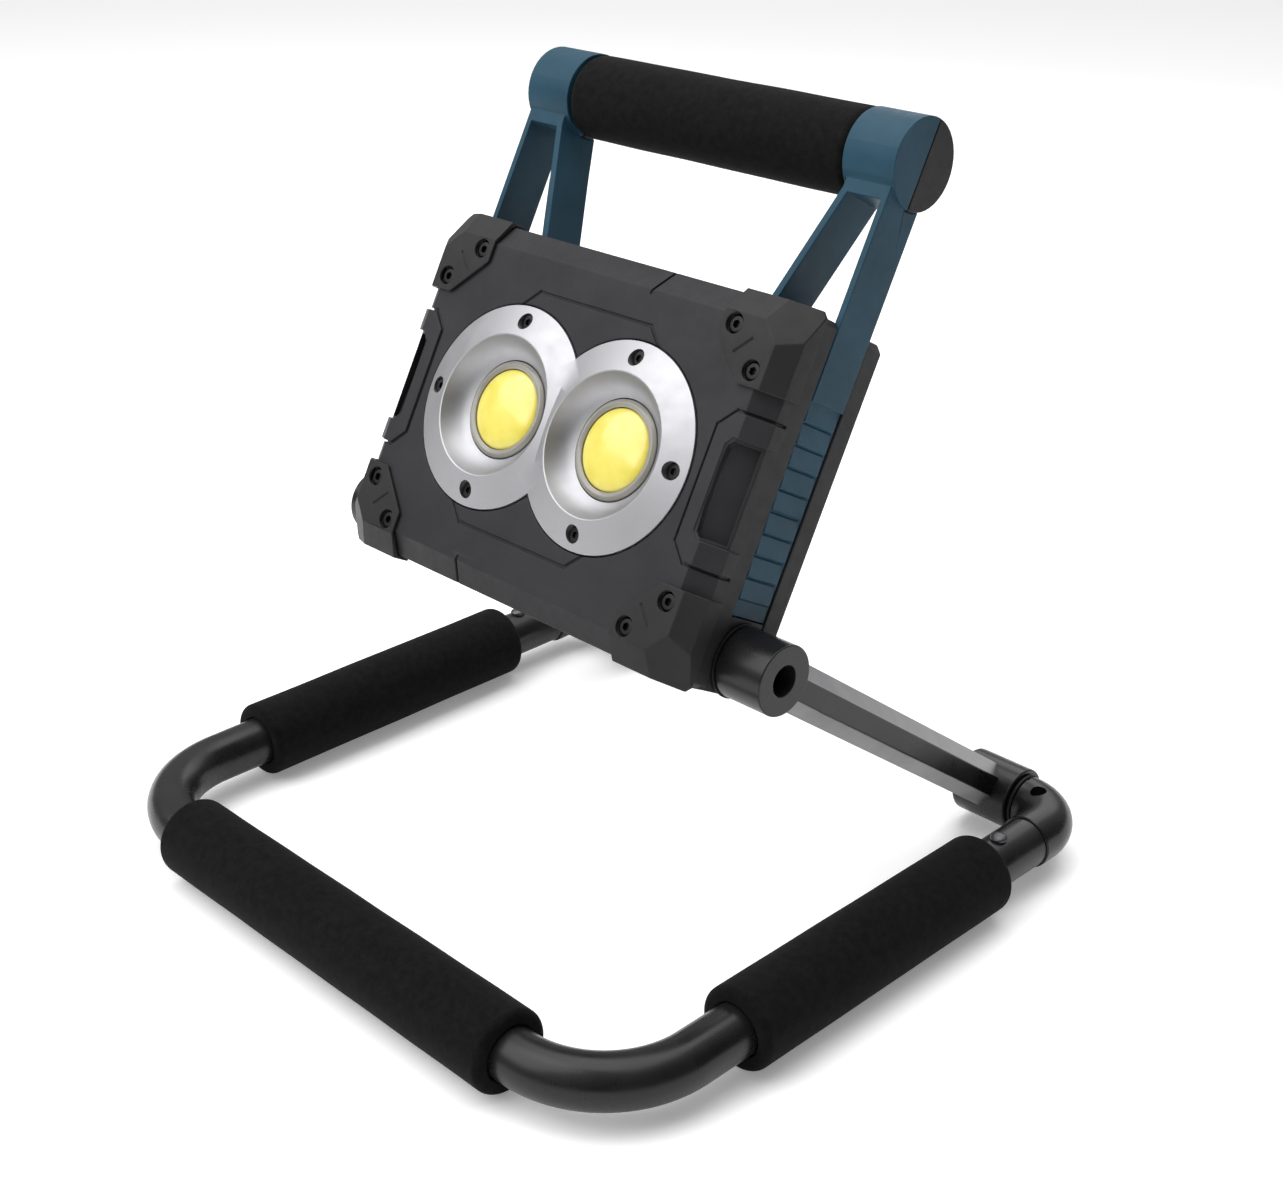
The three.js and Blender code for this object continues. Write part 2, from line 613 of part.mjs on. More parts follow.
function backCover() {
  const outline = chamferedRect(84.7, 62, 2.5);
  const rear = mirrorZTaper(outline, COVER_Z0, COVER_Z0 + 2.2, 82.9 / 84.7, 60.2 / 62);
  const outer = join(prism(outline, COVER_Z0 + 2.2, COVER_Z1), rear);
  const inner = prism(chamferedRect(82.1, 59.4, 2), COVER_Z0 + 2.5, COVER_Z1 + 1);
  const buttonHole = at(rod(8.2, COVER_Z0 - 1, COVER_Z1, 16), 0, BUTTON_V);
  const buttonDish = at(rod(11.5, COVER_Z0 - 1, COVER_Z0 + 0.8, 20), 0, BUTTON_V);
  const socketHole = box(SOCKET_X - 4.9, SOCKET_X + 4.9, BUTTON_V - 2, BUTTON_V + 2, COVER_Z0 - 1, COVER_Z1);
  const flapX0 = SOCKET_X - FLAP_HALF_W - 0.5;
  const flapX1 = SOCKET_X + FLAP_HALF_W + 0.5;
  const flapBed = box(flapX0, flapX1, BUTTON_V - 6.6, FLAP_TOP_V + 1.5, COVER_Z0 - 1, COVER_Z0 + 1.6);
  const slots = Array.from({ length: 7 }, (_, i) => {
    const v = 6 + i * 6.5;
    return box(-52, 52, v, v + 2.6, COVER_Z0 - 1, COVER_Z0 + 1.1);
  });
  const post = rod(2.2, COVER_Z0 + 2, -9, 8);
  const posts = [-9, 9].map((x) => at(post, x + Math.sign(x) * 2.4, BUTTON_V));
  return cut(join(cut(outer, inner), ...posts), buttonHole, buttonDish, socketHole, flapBed, ...slots);
}

// A prism whose lower end, rather than its upper one, is scaled towards the axis.
function mirrorZTaper(points, z0, z1, scaleX, scaleY) {
  return taper(points, -z1, -z0, scaleX, scaleY).mirror([0, 0, 1]);
}

function housingSeal() {
  const z0 = SHELL_Z0;
  const z1 = SHELL_Z0 + 2;
  const outer = prism(chamferedRect(81.2, 58.5, INNER_CHAMFER), z0, z1);
  const hole = prism(chamferedRect(79.2, 56.5, INNER_CHAMFER), z0 - 1, z1 + 1);
  return cut(outer, hole);
}

add(face, "front_housing", frontHousing(), paint.plasticBlack);
add(face, "handle_frame", handleFrame(), paint.plasticBlue);
add(face, "back_cover", backCover(), paint.plasticBlack);
addPair(face, "handle_cap", handleCap(), paint.plasticBlack);
add(face, "handle_tube", handleTube(), paint.aluminium);
add(face, "grip_foam", gripFoam(), paint.foam);
add(face, "housing_seal", housingSeal(), paint.rubber);

// ---------------------------------------------------------------- reflector and light sources
function reflectorPlate() {
  const profile = [
    [BOWL_R, 26.3],
    [22.4, 30],
    [LIP_R, LIP_Z],
    [PLATE_R, PLATE_EDGE_Z],
    [PLATE_R, PLATE_SEAT_Z],
    [WINDOW_R - 0.7, PLATE_SEAT_Z],
    [WINDOW_R - 0.7, 27.4],
    [19.8, 24.4],
    [BOWL_R, 24.4],
  ];
  const ring = at(turned(profile, 40), LAMP_X, LAMP_V);
  const half = ring.intersect(box(0, 80, -50, 50, 0, 50));
  let plate = join(half, mirrorX(half));
  for (const [x, y] of plateScrewSpots) {
    plate = plate.subtract(at(join(rod(3.1, 30.3, 36, 10), rod(1.75, 26, 31, 8)), x, y));
  }
  return plate;
}

function plateScrew() {
  const profile = [[0, 25.5], [1.3, 25.5], [1.3, 30.6], [2.7, 30.6], [2.7, 31.3], [0, 31.3]];
  return turned(profile, 10);
}

function lensRing() {
  const profile = [[14.7, 23.9], [17.4, 23.9], [17.4, 26.6], [16, 27.5], [14.7, 26.8]];
  return at(turned(profile, 24), LAMP_X, LAMP_V);
}

function phosphorDome() {
  const profile = [[0, 23.9], [14.3, 23.9], [14.3, 25.6], [11, 27.4], [6, 28.5], [0, 28.8]];
  return at(turned(profile, 24), LAMP_X, LAMP_V);
}

const cobBoard = () => at(rod(17.4, 22, 23.6, 20), LAMP_X, LAMP_V);

function heatSink() {
  const plate = prism(chamferedRect(62, 28, 4), 15.5, 21.5);
  const grooves = Array.from({ length: 6 }, (_, i) => box(-70, 70, -24 + i * 9, -20.5 + i * 9, 15, 19));
  return cut(plate, ...grooves);
}

function driverBoard() {
  const board = box(-40, 40, -14, 14, 13.6, 15.2);
  const coil = at(rod(6, 7.5, 14, 12), -22, 0);
  const chip = box(4, 16, -5, 5, 11.6, 14);
  const capacitor = at(rod(4, 6.5, 14, 12), 28, 3);
  return join(board, coil, chip, capacitor);
}

add(face, "reflector_plate", reflectorPlate(), paint.aluminium);
plateScrewSpots.forEach(([x, y], i) => {
  add(face, "reflector_screw_" + (i + 1), at(plateScrew(), x, y), paint.darkSteel);
});
addPair(face, "lens_ring", lensRing(), paint.clear);
addPair(face, "phosphor", phosphorDome(), paint.phosphor);
addPair(face, "cob_board", cobBoard(), paint.whiteBoard);
add(face, "heat_sink", heatSink(), paint.aluminium);
add(face, "driver_board", driverBoard(), paint.board);

// ---------------------------------------------------------------- power, switch and socket
const CELL_R = 9.1;
const CELL_Z = COVER_Z0 + 2.5 + GAP + CELL_R;
const cell = at(alongX(rod(CELL_R, 2, 67, 18)), 0, 12, CELL_Z);
add(face, "battery_cell_1", cell, paint.cell);
add(face, "battery_cell_2", mirrorX(cell), paint.cell);

function powerButton() {
  const flangeZ = COVER_Z0 + 2.5 + GAP;
  const top = COVER_Z0 - 1.1;
  const profile = [[0, top], [6.9, top], [7.7, top + 0.7], [7.7, flangeZ], [9.2, flangeZ], [9.2, -14], [0, -14]];
  return at(turned(profile, 16), 0, BUTTON_V);
}

function switchBody() {
  const board = box(-13.6, 13.6, BUTTON_V - 5, BUTTON_V + 5, -8.7, -7.1);
  const body = box(-3.1, 3.1, BUTTON_V - 3.1, BUTTON_V + 3.1, -12.1, -8);
  return join(board, body);
}

function chargeSocket() {
  const z0 = COVER_Z0 + 2.5 + GAP;
  const shell = box(SOCKET_X - 6, SOCKET_X + 6, BUTTON_V - 3.5, BUTTON_V + 3.5, z0, -6.5);
  const mouth = box(SOCKET_X - 4.2, SOCKET_X + 4.2, BUTTON_V - 1.4, BUTTON_V + 1.4, z0 - 1, -8.5);
  return cut(shell, mouth);
}

function socketFlap() {
  const x0 = SOCKET_X - FLAP_HALF_W;
  const x1 = SOCKET_X + FLAP_HALF_W;
  const leaf = box(x0, x1, BUTTON_V - 6, FLAP_TOP_V, COVER_Z0 - 0.4, COVER_Z0 + 1.2);
  const barrel = at(alongX(rod(0.95, x0, x1, 12)), 0, FLAP_TOP_V, FLAP_HINGE_Z);
  return join(leaf, barrel);
}

add(face, "power_button", powerButton(), paint.rubber);
add(face, "switch_body", switchBody(), paint.plasticBlack);
add(face, "charge_socket", chargeSocket(), paint.steel);
add(face, "socket_flap", socketFlap(), paint.rubber);

// ---------------------------------------------------------------- corner guards and their screws
function cornerGuard() {
  const halfX = HEAD_HALF_W + GUARD_GROW;
  const halfY = HEAD_HALF_H + GUARD_GROW;
  const outline = chamferedRect(halfX, halfY, HEAD_CHAMFER);
  const sides = prism(outline, FACET_TIP_Z, 26);
  const crown = taper(outline, 26, GUARD_TOP_Z, 80 / halfX, 55.3 / halfY);
  const form = cut(join(sides, crown), facetCutters(GUARD_GROW));
  const region = [[56, 47.4], [70.2, 33.3], [90, 33.3], [90, 70], [57.5, 70], [56, 57]];
  const slash = strip([65.2, 42.6], [70.5, 48], 0.9, GUARD_TOP_Z - 0.6, GUARD_TOP_Z + 1);
  const bores = GUARD_SCREWS.map(([x, y]) => at(rod(3.5, 18, 40, 16), x, y));
  const cap = prism(region, FACET_TIP_Z, 40).intersect(form);
  return cut(cap, envelope(GAP, 0), slash, ...bores);
}

function guardScrew() {
  const profile = [
    [0, 22.2],
    [1.5, 22.2],
    [1.5, 27.9],
    [2.9, 27.9],
    [2.9, 30.6],
    [0, 31],
  ];
  return turned(profile, 12);
}

const quadrants = [[1, 1], [-1, 1], [-1, -1], [1, -1]];
quadrants.forEach(([sx, sy], i) => {
  let guard = cornerGuard();
  if (sx < 0) guard = mirrorX(guard);
  if (sy < 0) guard = mirrorY(guard);
  add(face, "corner_guard_" + (i + 1), guard, paint.plasticBlack);
  GUARD_SCREWS.forEach(([x, y], k) => {
    const name = "guard_screw_" + (2 * i + k + 1);
    add(face, name, at(guardScrew(), sx * x, sy * y), paint.darkSteel);
  });
});

// ---------------------------------------------------------------- upper pivots
function pivotScrew() {
  const profile = [
    [0, 69],
    [3, 69],
    [3, 92.3],
    [4.95, 92.3],
    [4.95, 98.4],
    [0, 98.4],
  ];
  const socket = alongX(rod(2.6, 95, 99, 6));
  return at(cut(alongX(turned(profile, 12)), socket), 0, PIVOT_V);
}

function frictionWasher() {
  const profile = [[3.4, 85.3], [12.9, 85.3], [12.9, 86.1], [3.4, 86.1]];
  return at(alongX(turned(profile, 20)), 0, PIVOT_V);
}

addPair(face, "pivot_screw", pivotScrew(), paint.darkSteel);
addPair(face, "friction_washer", frictionWasher(), paint.nylon);

export default light;
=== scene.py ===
"""A folding work light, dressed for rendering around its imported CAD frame.

Everything is in metres, in the row frame. Pieces on the head are drawn lying flat, with the
light facing +Z, in the face frame (X across, Y up the face, Z out of it), and pieces on the
arms in the arm frame (Y from the lower pivot to the upper one).
"""
import json
import math

import bmesh
import bpy
from mathutils import Matrix, Vector


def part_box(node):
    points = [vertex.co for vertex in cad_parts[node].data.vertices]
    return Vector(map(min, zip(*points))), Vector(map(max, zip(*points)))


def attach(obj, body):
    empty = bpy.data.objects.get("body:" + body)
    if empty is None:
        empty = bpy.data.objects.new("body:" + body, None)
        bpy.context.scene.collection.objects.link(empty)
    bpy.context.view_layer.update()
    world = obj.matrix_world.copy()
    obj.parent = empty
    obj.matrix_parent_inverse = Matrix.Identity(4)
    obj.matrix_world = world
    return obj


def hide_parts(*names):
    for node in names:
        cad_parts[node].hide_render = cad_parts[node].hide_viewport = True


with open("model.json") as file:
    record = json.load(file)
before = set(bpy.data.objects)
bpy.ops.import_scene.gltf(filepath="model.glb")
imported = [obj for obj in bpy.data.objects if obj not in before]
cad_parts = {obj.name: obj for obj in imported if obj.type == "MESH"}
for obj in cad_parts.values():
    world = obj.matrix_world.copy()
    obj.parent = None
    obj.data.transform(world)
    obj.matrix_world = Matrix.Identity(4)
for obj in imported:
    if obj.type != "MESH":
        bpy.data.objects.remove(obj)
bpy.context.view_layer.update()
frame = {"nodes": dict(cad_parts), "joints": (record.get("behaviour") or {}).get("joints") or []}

MM = 0.001
joints = {joint["name"]: joint for joint in frame["joints"]}
scene = bpy.context.scene

# ------------------------------------------------------------------ frames of reference
lower_pivot = Vector(joints["arm_swing"]["pos_m"])
upper_pivot = Vector(joints["head_tilt"]["pos_m"])
X_AXIS = Vector((1, 0, 0))


def frame_matrix(origin, y_axis, z_axis):
    matrix = Matrix.Identity(4)
    for column, vector in enumerate((X_AXIS, y_axis, z_axis, origin)):
        for row in range(3):
            matrix[row][column] = vector[row]
    return matrix


along_arm = (upper_pivot - lower_pivot).normalized()
ARM = frame_matrix(lower_pivot, along_arm, X_AXIS.cross(along_arm))
ARM_LENGTH = (upper_pivot - lower_pivot).length

face_out = Vector(joints["power_press"]["axis"]).normalized()
face_up = face_out.cross(X_AXIS)
PIVOT_V = -49.8 * MM  # upper pivots' height above the middle of the shell
FACE = frame_matrix(upper_pivot - PIVOT_V * face_up, face_up, face_out)

UNMOVED = Matrix.Identity(4)
ALONG_X = Matrix.Rotation(math.radians(90), 4, "Y")
ALONG_Y = Matrix.Rotation(math.radians(-90), 4, "X")
SIDES = {"left": -1, "right": 1}


def place(x, y, z=0.0):
    return Matrix.Translation((x, y, z))


def outward(side):
    """Turns a piece drawn standing on Z so that it points out sideways."""
    return Matrix.Rotation(SIDES[side] * math.pi / 2, 4, "Y")


def extent(node, seen_from):
    """Lowest and highest corner of a CAD node in one of the frames above."""
    inverse = seen_from.inverted()
    points = [inverse @ v.co for v in frame["nodes"][node].data.vertices]
    low = Vector([min(p[i] for p in points) for i in range(3)])
    high = Vector([max(p[i] for p in points) for i in range(3)])
    return low, high


def middle_of(node, seen_from):
    """Across and up place of a CAD node's middle in one of the frames above."""
    low, high = extent(node, seen_from)
    return (low.x + high.x) / 2, (low.y + high.y) / 2


# ------------------------------------------------------------------ materials
def node_of(tree, kind, **values):
    node = tree.nodes.new(kind)
    for name, value in values.items():
        if hasattr(node, name):
            setattr(node, name, value)
        else:
            node.inputs[name].default_value = value
    return node


def noise(tree, coordinates, scale, detail=3.0, roughness=0.5):
    node = node_of(tree, "ShaderNodeTexNoise", Scale=scale, Detail=detail)
    node.inputs["Roughness"].default_value = roughness
    tree.links.new(coordinates, node.inputs["Vector"])
    return node.outputs["Fac"]


def ramp(tree, value, low, high, out_low, out_high):
    node = node_of(tree, "ShaderNodeMapRange")
    node.inputs["From Min"].default_value = low
    node.inputs["From Max"].default_value = high
    node.inputs["To Min"].default_value = out_low
    node.inputs["To Max"].default_value = out_high
    tree.links.new(value, node.inputs["Value"])
    return node.outputs["Result"]


def mix_colour(tree, factor, a, b):
    node = node_of(tree, "ShaderNodeMix", data_type="RGBA")
    tree.links.new(factor, node.inputs["Factor"])
    for socket, value in (("A", a), ("B", b)):
        sockets = [s for s in node.inputs if s.name == socket and s.type == "RGBA"]
        if isinstance(value, bpy.types.NodeSocket):
            tree.links.new(value, sockets[0])
        else:
            sockets[0].default_value = (*value, 1)
    return next(s for s in node.outputs if s.type == "RGBA")


def bump(tree, height, depth, below=None, strength=1.0):
    node = node_of(tree, "ShaderNodeBump", Strength=strength, Distance=depth)
    tree.links.new(height, node.inputs["Height"])
    if below is not None:
        tree.links.new(below, node.inputs["Normal"])
    return node.outputs["Normal"]


def surface(name, colour, roughness, metallic=0.0):
    """A material with its Principled shader, its node tree and its object coordinates."""
    material = bpy.data.materials.new(name)
    material.use_nodes = True
    tree = material.node_tree
    shader = tree.nodes["Principled BSDF"]
    shader.inputs["Base Color"].default_value = (*colour, 1)
    shader.inputs["Roughness"].default_value = roughness
    shader.inputs["Metallic"].default_value = metallic
    coordinates = node_of(tree, "ShaderNodeTexCoord").outputs["Object"]
    return material, tree, shader, coordinates


def moulded(name, colour, roughness, grain=2600.0, depth=0.012, wear=0.35):
    """Injection-moulded plastic: fine spark texture, faint flow mottling, rubbed edges."""
    material, tree, shader, co = surface(name, colour, roughness)
    shader.inputs["Specular IOR Level"].default_value = 0.2
    fine = noise(tree, co, grain, 2.0)
    broad = noise(tree, co, 38.0, 4.0)
    scuffs = noise(tree, co, 210.0, 6.0, 0.7)
    dark = tuple(c * 0.86 for c in colour)
    pale = tuple(c * 1.14 for c in colour)
    mottled = mix_colour(tree, ramp(tree, broad, 0.35, 0.65, 0, 1), dark, pale)
    pointiness = node_of(tree, "ShaderNodeNewGeometry").outputs["Pointiness"]
    edge = ramp(tree, pointiness, 0.53, 0.60, 0, wear)
    rubbed = tuple(min(1.0, c * 1.7 + 0.035) for c in colour)
    coloured = mix_colour(tree, edge, mottled, rubbed)
    tree.links.new(coloured, shader.inputs["Base Color"])
    rough = ramp(tree, scuffs, 0.3, 0.7, roughness - 0.07, roughness + 0.09)
    tree.links.new(rough, shader.inputs["Roughness"])
    normal = bump(tree, fine, depth * MM, strength=0.7)
    tree.links.new(bump(tree, scuffs, 0.010 * MM, normal, 0.4), shader.inputs["Normal"])
    return material


def coated(name, colour, roughness, peel_depth, metallic=0.0):
    """Powder-coated or blacked metal: soft orange peel under a semi-gloss surface."""
    material, tree, shader, co = surface(name, colour, roughness, metallic)
    shader.inputs["Specular IOR Level"].default_value = 0.3
    peel = noise(tree, co, 620.0, 2.0)
    broad = noise(tree, co, 55.0, 5.0, 0.6)
    dark = tuple(c * 0.8 for c in colour)
    pale = tuple(c * 1.25 for c in colour)
    mottled = mix_colour(tree, ramp(tree, broad, 0.3, 0.7, 0, 1), dark, pale)
    tree.links.new(mottled, shader.inputs["Base Color"])
    rough = ramp(tree, broad, 0.3, 0.7, roughness - 0.05, roughness + 0.07)
    tree.links.new(rough, shader.inputs["Roughness"])
    tree.links.new(bump(tree, peel, peel_depth * MM, strength=0.6), shader.inputs["Normal"])
    return material


def cell_foam(name, colour):
    """Closed-cell foam: skinned cells about half a millimetre across, with soft mottling and painted
    shade in the hollow of each cell.
    """
    material, tree, shader, co = surface(name, colour, 0.92)
    shader.inputs["Sheen Weight"].default_value = 0.015
    shader.inputs["Sheen Roughness"].default_value = 0.6
    shader.inputs["Specular IOR Level"].default_value = 0.1
    cells = node_of(tree, "ShaderNodeTexVoronoi", Scale=1500.0)
    tree.links.new(co, cells.inputs["Vector"])
    pores = ramp(tree, cells.outputs["Distance"], 0.0, 0.55, 0, 1)
    clumps = noise(tree, co, 330.0, 4.0, 0.65)
    broad = noise(tree, co, 60.0, 3.0)
    dark = tuple(c * 0.55 for c in colour)
    pale = tuple(c * 1.5 for c in colour)
    mottled = mix_colour(tree, ramp(tree, clumps, 0.34, 0.68, 0, 1), dark, pale)
    # Painted shade: the hollows at the middle of the cells are darkened
    shaded = mix_colour(tree, ramp(tree, pores, 0.2, 0.9, 0.35, 0), mottled, dark)
    tree.links.new(shaded, shader.inputs["Base Color"])
    normal = bump(tree, pores, 0.05 * MM, strength=0.8)
    normal = bump(tree, clumps, 0.12 * MM, normal, 0.8)
    tree.links.new(bump(tree, broad, 0.35 * MM, normal, 0.7), shader.inputs["Normal"])
    return material


def spun_metal(name, colour, roughness):
    """Bright metal turned about the piece's own Z axis: fine rings, slightly uneven polish."""
    material, tree, shader, co = surface(name, colour, roughness, 1.0)
    split = node_of(tree, "ShaderNodeSeparateXYZ")
    tree.links.new(co, split.inputs[0])
    radius = node_of(tree, "ShaderNodeVectorMath", operation="LENGTH")
    flat = node_of(tree, "ShaderNodeCombineXYZ")
    tree.links.new(split.outputs["X"], flat.inputs["X"])
    tree.links.new(split.outputs["Y"], flat.inputs["Y"])
    tree.links.new(flat.outputs[0], radius.inputs[0])
    ring = node_of(tree, "ShaderNodeCombineXYZ")
    tree.links.new(radius.outputs["Value"], ring.inputs["X"])
    tree.links.new(split.outputs["Z"], ring.inputs["Y"])
    grooves = noise(tree, ring.outputs[0], 5200.0, 2.0)
    cloud = noise(tree, co, 120.0, 4.0, 0.6)
    rough = ramp(tree, cloud, 0.3, 0.7, roughness - 0.04, roughness + 0.06)
    tree.links.new(rough, shader.inputs["Roughness"])
    dark = tuple(c * 0.93 for c in colour)
    tree.links.new(mix_colour(tree, grooves, dark, colour), shader.inputs["Base Color"])
    tree.links.new(bump(tree, grooves, 0.004 * MM, strength=0.5), shader.inputs["Normal"])
    return material


def phosphor_gel(name):
    """Silicone gel over yellow phosphor, paler where it is thick, with a wet skin and a faint
    painted glow.
    """
    material, tree, shader, co = surface(name, (0.78, 0.67, 0.1), 0.32)
    shader.inputs["Coat Weight"].default_value = 0.8
    shader.inputs["Coat Roughness"].default_value = 0.12
    shader.inputs["Subsurface Weight"].default_value = 0.25
    shader.inputs["Subsurface Radius"].default_value = (0.004, 0.003, 0.001)
    # Painted glow: a faint yellow emission, though the lamp is not lit
    shader.inputs["Emission Color"].default_value = (1.0, 0.88, 0.16, 1)
    shader.inputs["Emission Strength"].default_value = 0.01
    speckle = noise(tree, co, 900.0, 3.0, 0.6)
    cloud = noise(tree, co, 130.0, 3.0)
    clouded = ramp(tree, cloud, 0.35, 0.65, 0, 1)
    tint = mix_colour(tree, clouded, (0.74, 0.63, 0.075), (0.83, 0.73, 0.15))
    speckled = mix_colour(tree, ramp(tree, speckle, 0.5, 0.8, 0, 0.35), tint, (0.80, 0.69, 0.05))
    tree.links.new(speckled, shader.inputs["Base Color"])
    tree.links.new(bump(tree, cloud, 0.06 * MM, strength=0.5), shader.inputs["Normal"])
    return material


def clear_moulding(name):
    """Clear plastic, its colour greyed as painted shade of the seat beneath it, with faint flow
    swirls.
    """
    # Painted shade: the grey colour stands for the shaded seat seen through the ring
    material, tree, shader, co = surface(name, (0.36, 0.345, 0.30), 0.2)
    shader.inputs["Transmission Weight"].default_value = 0.3
    shader.inputs["IOR"].default_value = 1.46
    shader.inputs["Coat Weight"].default_value = 0.5
    swirl = noise(tree, co, 260.0, 3.0)
    tree.links.new(ramp(tree, swirl, 0.3, 0.7, 0.1, 0.24), shader.inputs["Roughness"])
    tree.links.new(bump(tree, swirl, 0.02 * MM, strength=0.4), shader.inputs["Normal"])
    return material


def circuit(name, colour):
    """Solder mask over fine tracks."""
    material, tree, shader, co = surface(name, colour, 0.45)
    weave = node_of(tree, "ShaderNodeTexVoronoi", Scale=420.0, feature="DISTANCE_TO_EDGE")
    tree.links.new(co, weave.inputs["Vector"])
    lines = ramp(tree, weave.outputs["Distance"], 0.02, 0.06, 1, 0)
    pale = tuple(min(1.0, c * 1.5 + 0.03) for c in colour)
    tree.links.new(mix_colour(tree, lines, colour, pale), shader.inputs["Base Color"])
    tree.links.new(bump(tree, lines, 0.03 * MM, strength=0.5), shader.inputs["Normal"])
    return material


MATERIALS = {
    "tube_black": coated("powder_coat", (0.010, 0.010, 0.0105), 0.27, 0.012),
    # Painted reflection: a paler metallic copy of the arms' black coat, laid on the bar's slanted
    # facets
    "arm_cast": coated("arm_facet_painted_reflection", (0.27, 0.27, 0.275), 0.36, 0.015, 0.9),
    "boss_black": coated("boss_coat", (0.011, 0.011, 0.012), 0.28, 0.01),
    "foam": cell_foam("foam", (0.0046, 0.0042, 0.0041)),
    "plastic_black": moulded("moulded_black", (0.0225, 0.0225, 0.0245), 0.52),
    "guard_plastic": moulded("guard_black", (0.0205, 0.0205, 0.0215), 0.52),
    "plastic_blue": moulded("moulded_blue", (0.013, 0.054, 0.086), 0.48, wear=0.2),
    "nylon_black": moulded("nylon_black", (0.008, 0.008, 0.008), 0.55),
    "rubber_black": moulded("rubber_black", (0.010, 0.010, 0.010), 0.72, 1800.0, 0.03, 0.1),
    "bright_steel": coated("bright_steel", (0.5, 0.5, 0.52), 0.22, 0.01, 1.0),
    "dull_steel": coated("dull_steel", (0.09, 0.09, 0.095), 0.38, 0.01, 0.8),
    "black_steel": coated("black_steel", (0.005, 0.005, 0.0055), 0.45, 0.01),
    "satin_aluminium": spun_metal("satin_aluminium", (0.42, 0.42, 0.435), 0.5),
    "bare_aluminium": coated("bare_aluminium", (0.55, 0.55, 0.56), 0.35, 0.02, 1.0),
    "phosphor": phosphor_gel("phosphor"),
    "clear_plastic": clear_moulding("clear_ring"),
    "led_board": circuit("led_board", (0.72, 0.72, 0.70)),
    "circuit_board": circuit("circuit_board", (0.02, 0.12, 0.06)),
    "cell_wrap": moulded("cell_wrap", (0.05, 0.2, 0.42), 0.3, 900.0, 0.01, 0.1),
}


# ------------------------------------------------------------------ mesh building
def fillet(points, radii, steps=4):
    """Rounds the corners of a closed 2-D outline. radii is one number, or one for each corner."""
    count = len(points)
    if isinstance(radii, (int, float)):
        radii = [radii] * count
    made = []
    for i, (point, radius) in enumerate(zip(points, radii)):
        corner = Vector(point)
        before = Vector(points[i - 1]) - corner
        after = Vector(points[(i + 1) % count]) - corner
        angle = before.angle(after, math.pi)
        if radius <= 0 or angle > math.radians(176):
            made.append(tuple(corner))
            continue
        reach = radius / math.tan(angle / 2)
        limit = 0.48 * min(before.length, after.length)
        if reach > limit:
            reach, radius = limit, limit * math.tan(angle / 2)
        start = corner + before.normalized() * reach
        end = corner + after.normalized() * reach
        bisector = (before.normalized() + after.normalized()).normalized()
        centre = corner + bisector * (radius / math.sin(angle / 2))
        from_start, from_end = start - centre, end - centre
        sweep = from_start.angle(from_end)
        for k in range(steps + 1):
            t = k / steps
            a = math.sin((1 - t) * sweep) / math.sin(sweep)
            b = math.sin(t * sweep) / math.sin(sweep)
            made.append(tuple(centre + a * from_start + b * from_end))
    return made


def lathe(profile, segments=96):
    """A turned solid about Z from a closed (radius, height) outline in millimetres."""
    bm = bmesh.new()
    rings = []
    for radius, height in profile:
        if radius < 1e-6:
            rings.append([bm.verts.new((0, 0, height * MM))])
            continue
        ring = []
        for k in range(segments):
            angle = 2 * math.pi * k / segments
            spot = (radius * MM * math.cos(angle), radius * MM * math.sin(angle), height * MM)
            ring.append(bm.verts.new(spot))
        rings.append(ring)
    for ring, following in zip(rings, rings[1:] + rings[:1]):
        if len(ring) == 1 and len(following) == 1:
            continue
        for k in range(segments):
            n = (k + 1) % segments
            corners = [ring[k % len(ring)], ring[n % len(ring)],
                       following[n % len(following)], following[k % len(following)]]
            unique = list(dict.fromkeys(corners))
            if len(unique) > 2:
                bm.faces.new(unique)
    bmesh.ops.recalc_face_normals(bm, faces=bm.faces)
    return bm


def disc_profile(radius, low, high, round_low=0.5, round_high=0.5, bore=0.0):
    """Outline of a plain turned disc or sleeve with rounded rims."""
    inner_round = min(round_low, round_high) if bore > 0 else 0
    corners = [(bore, low), (radius, low), (radius, high), (bore, high)]
    radii = [inner_round, round_low, round_high, inner_round]
    return fillet(corners, radii)


def prism(outline, low, high):
    """A flat outline, in millimetres, made solid between two heights."""
    bm = bmesh.new()
    bottom = [bm.verts.new((x * MM, y * MM, low * MM)) for x, y in outline]
    top = [bm.verts.new((x * MM, y * MM, high * MM)) for x, y in outline]
    bm.faces.new(bottom)
    bm.faces.new(top)
    for i in range(len(outline)):
        n = (i + 1) % len(outline)
        bm.faces.new((bottom[i], bottom[n], top[n], top[i]))
    bmesh.ops.recalc_face_normals(bm, faces=bm.faces)
    return bm


def regular(radius, sides, turn=0.5):
    step = 2 * math.pi / sides
    return [(radius * math.cos(step * (k + turn)), radius * math.sin(step * (k + turn)))
            for k in range(sides)]


def swept(stations, sides, bm=None):
    """A round skin through flat-lying stations of (point, tangent, radius), open at the ends."""
    bm = bm or bmesh.new()
    rings = []
    for point, tangent, radius in stations:
        side = Vector((tangent.y, -tangent.x, 0))
        ring = []
        for k in range(sides):
            angle = 2 * math.pi * (k + 0.5) / sides
            offset = side * math.cos(angle) + Vector((0, 0, 1)) * math.sin(angle)
            ring.append(bm.verts.new(point + offset * radius))
        rings.append(ring)
    for ring, following in zip(rings, rings[1:]):
        joined(bm, ring, following)
    return bm, rings


def joined(bm, ring, following):
    """Fills the band between two rings of as many points."""
    for k in range(len(ring)):
        n = (k + 1) % len(ring)
        bm.faces.new((ring[k], ring[n], following[n], following[k]))


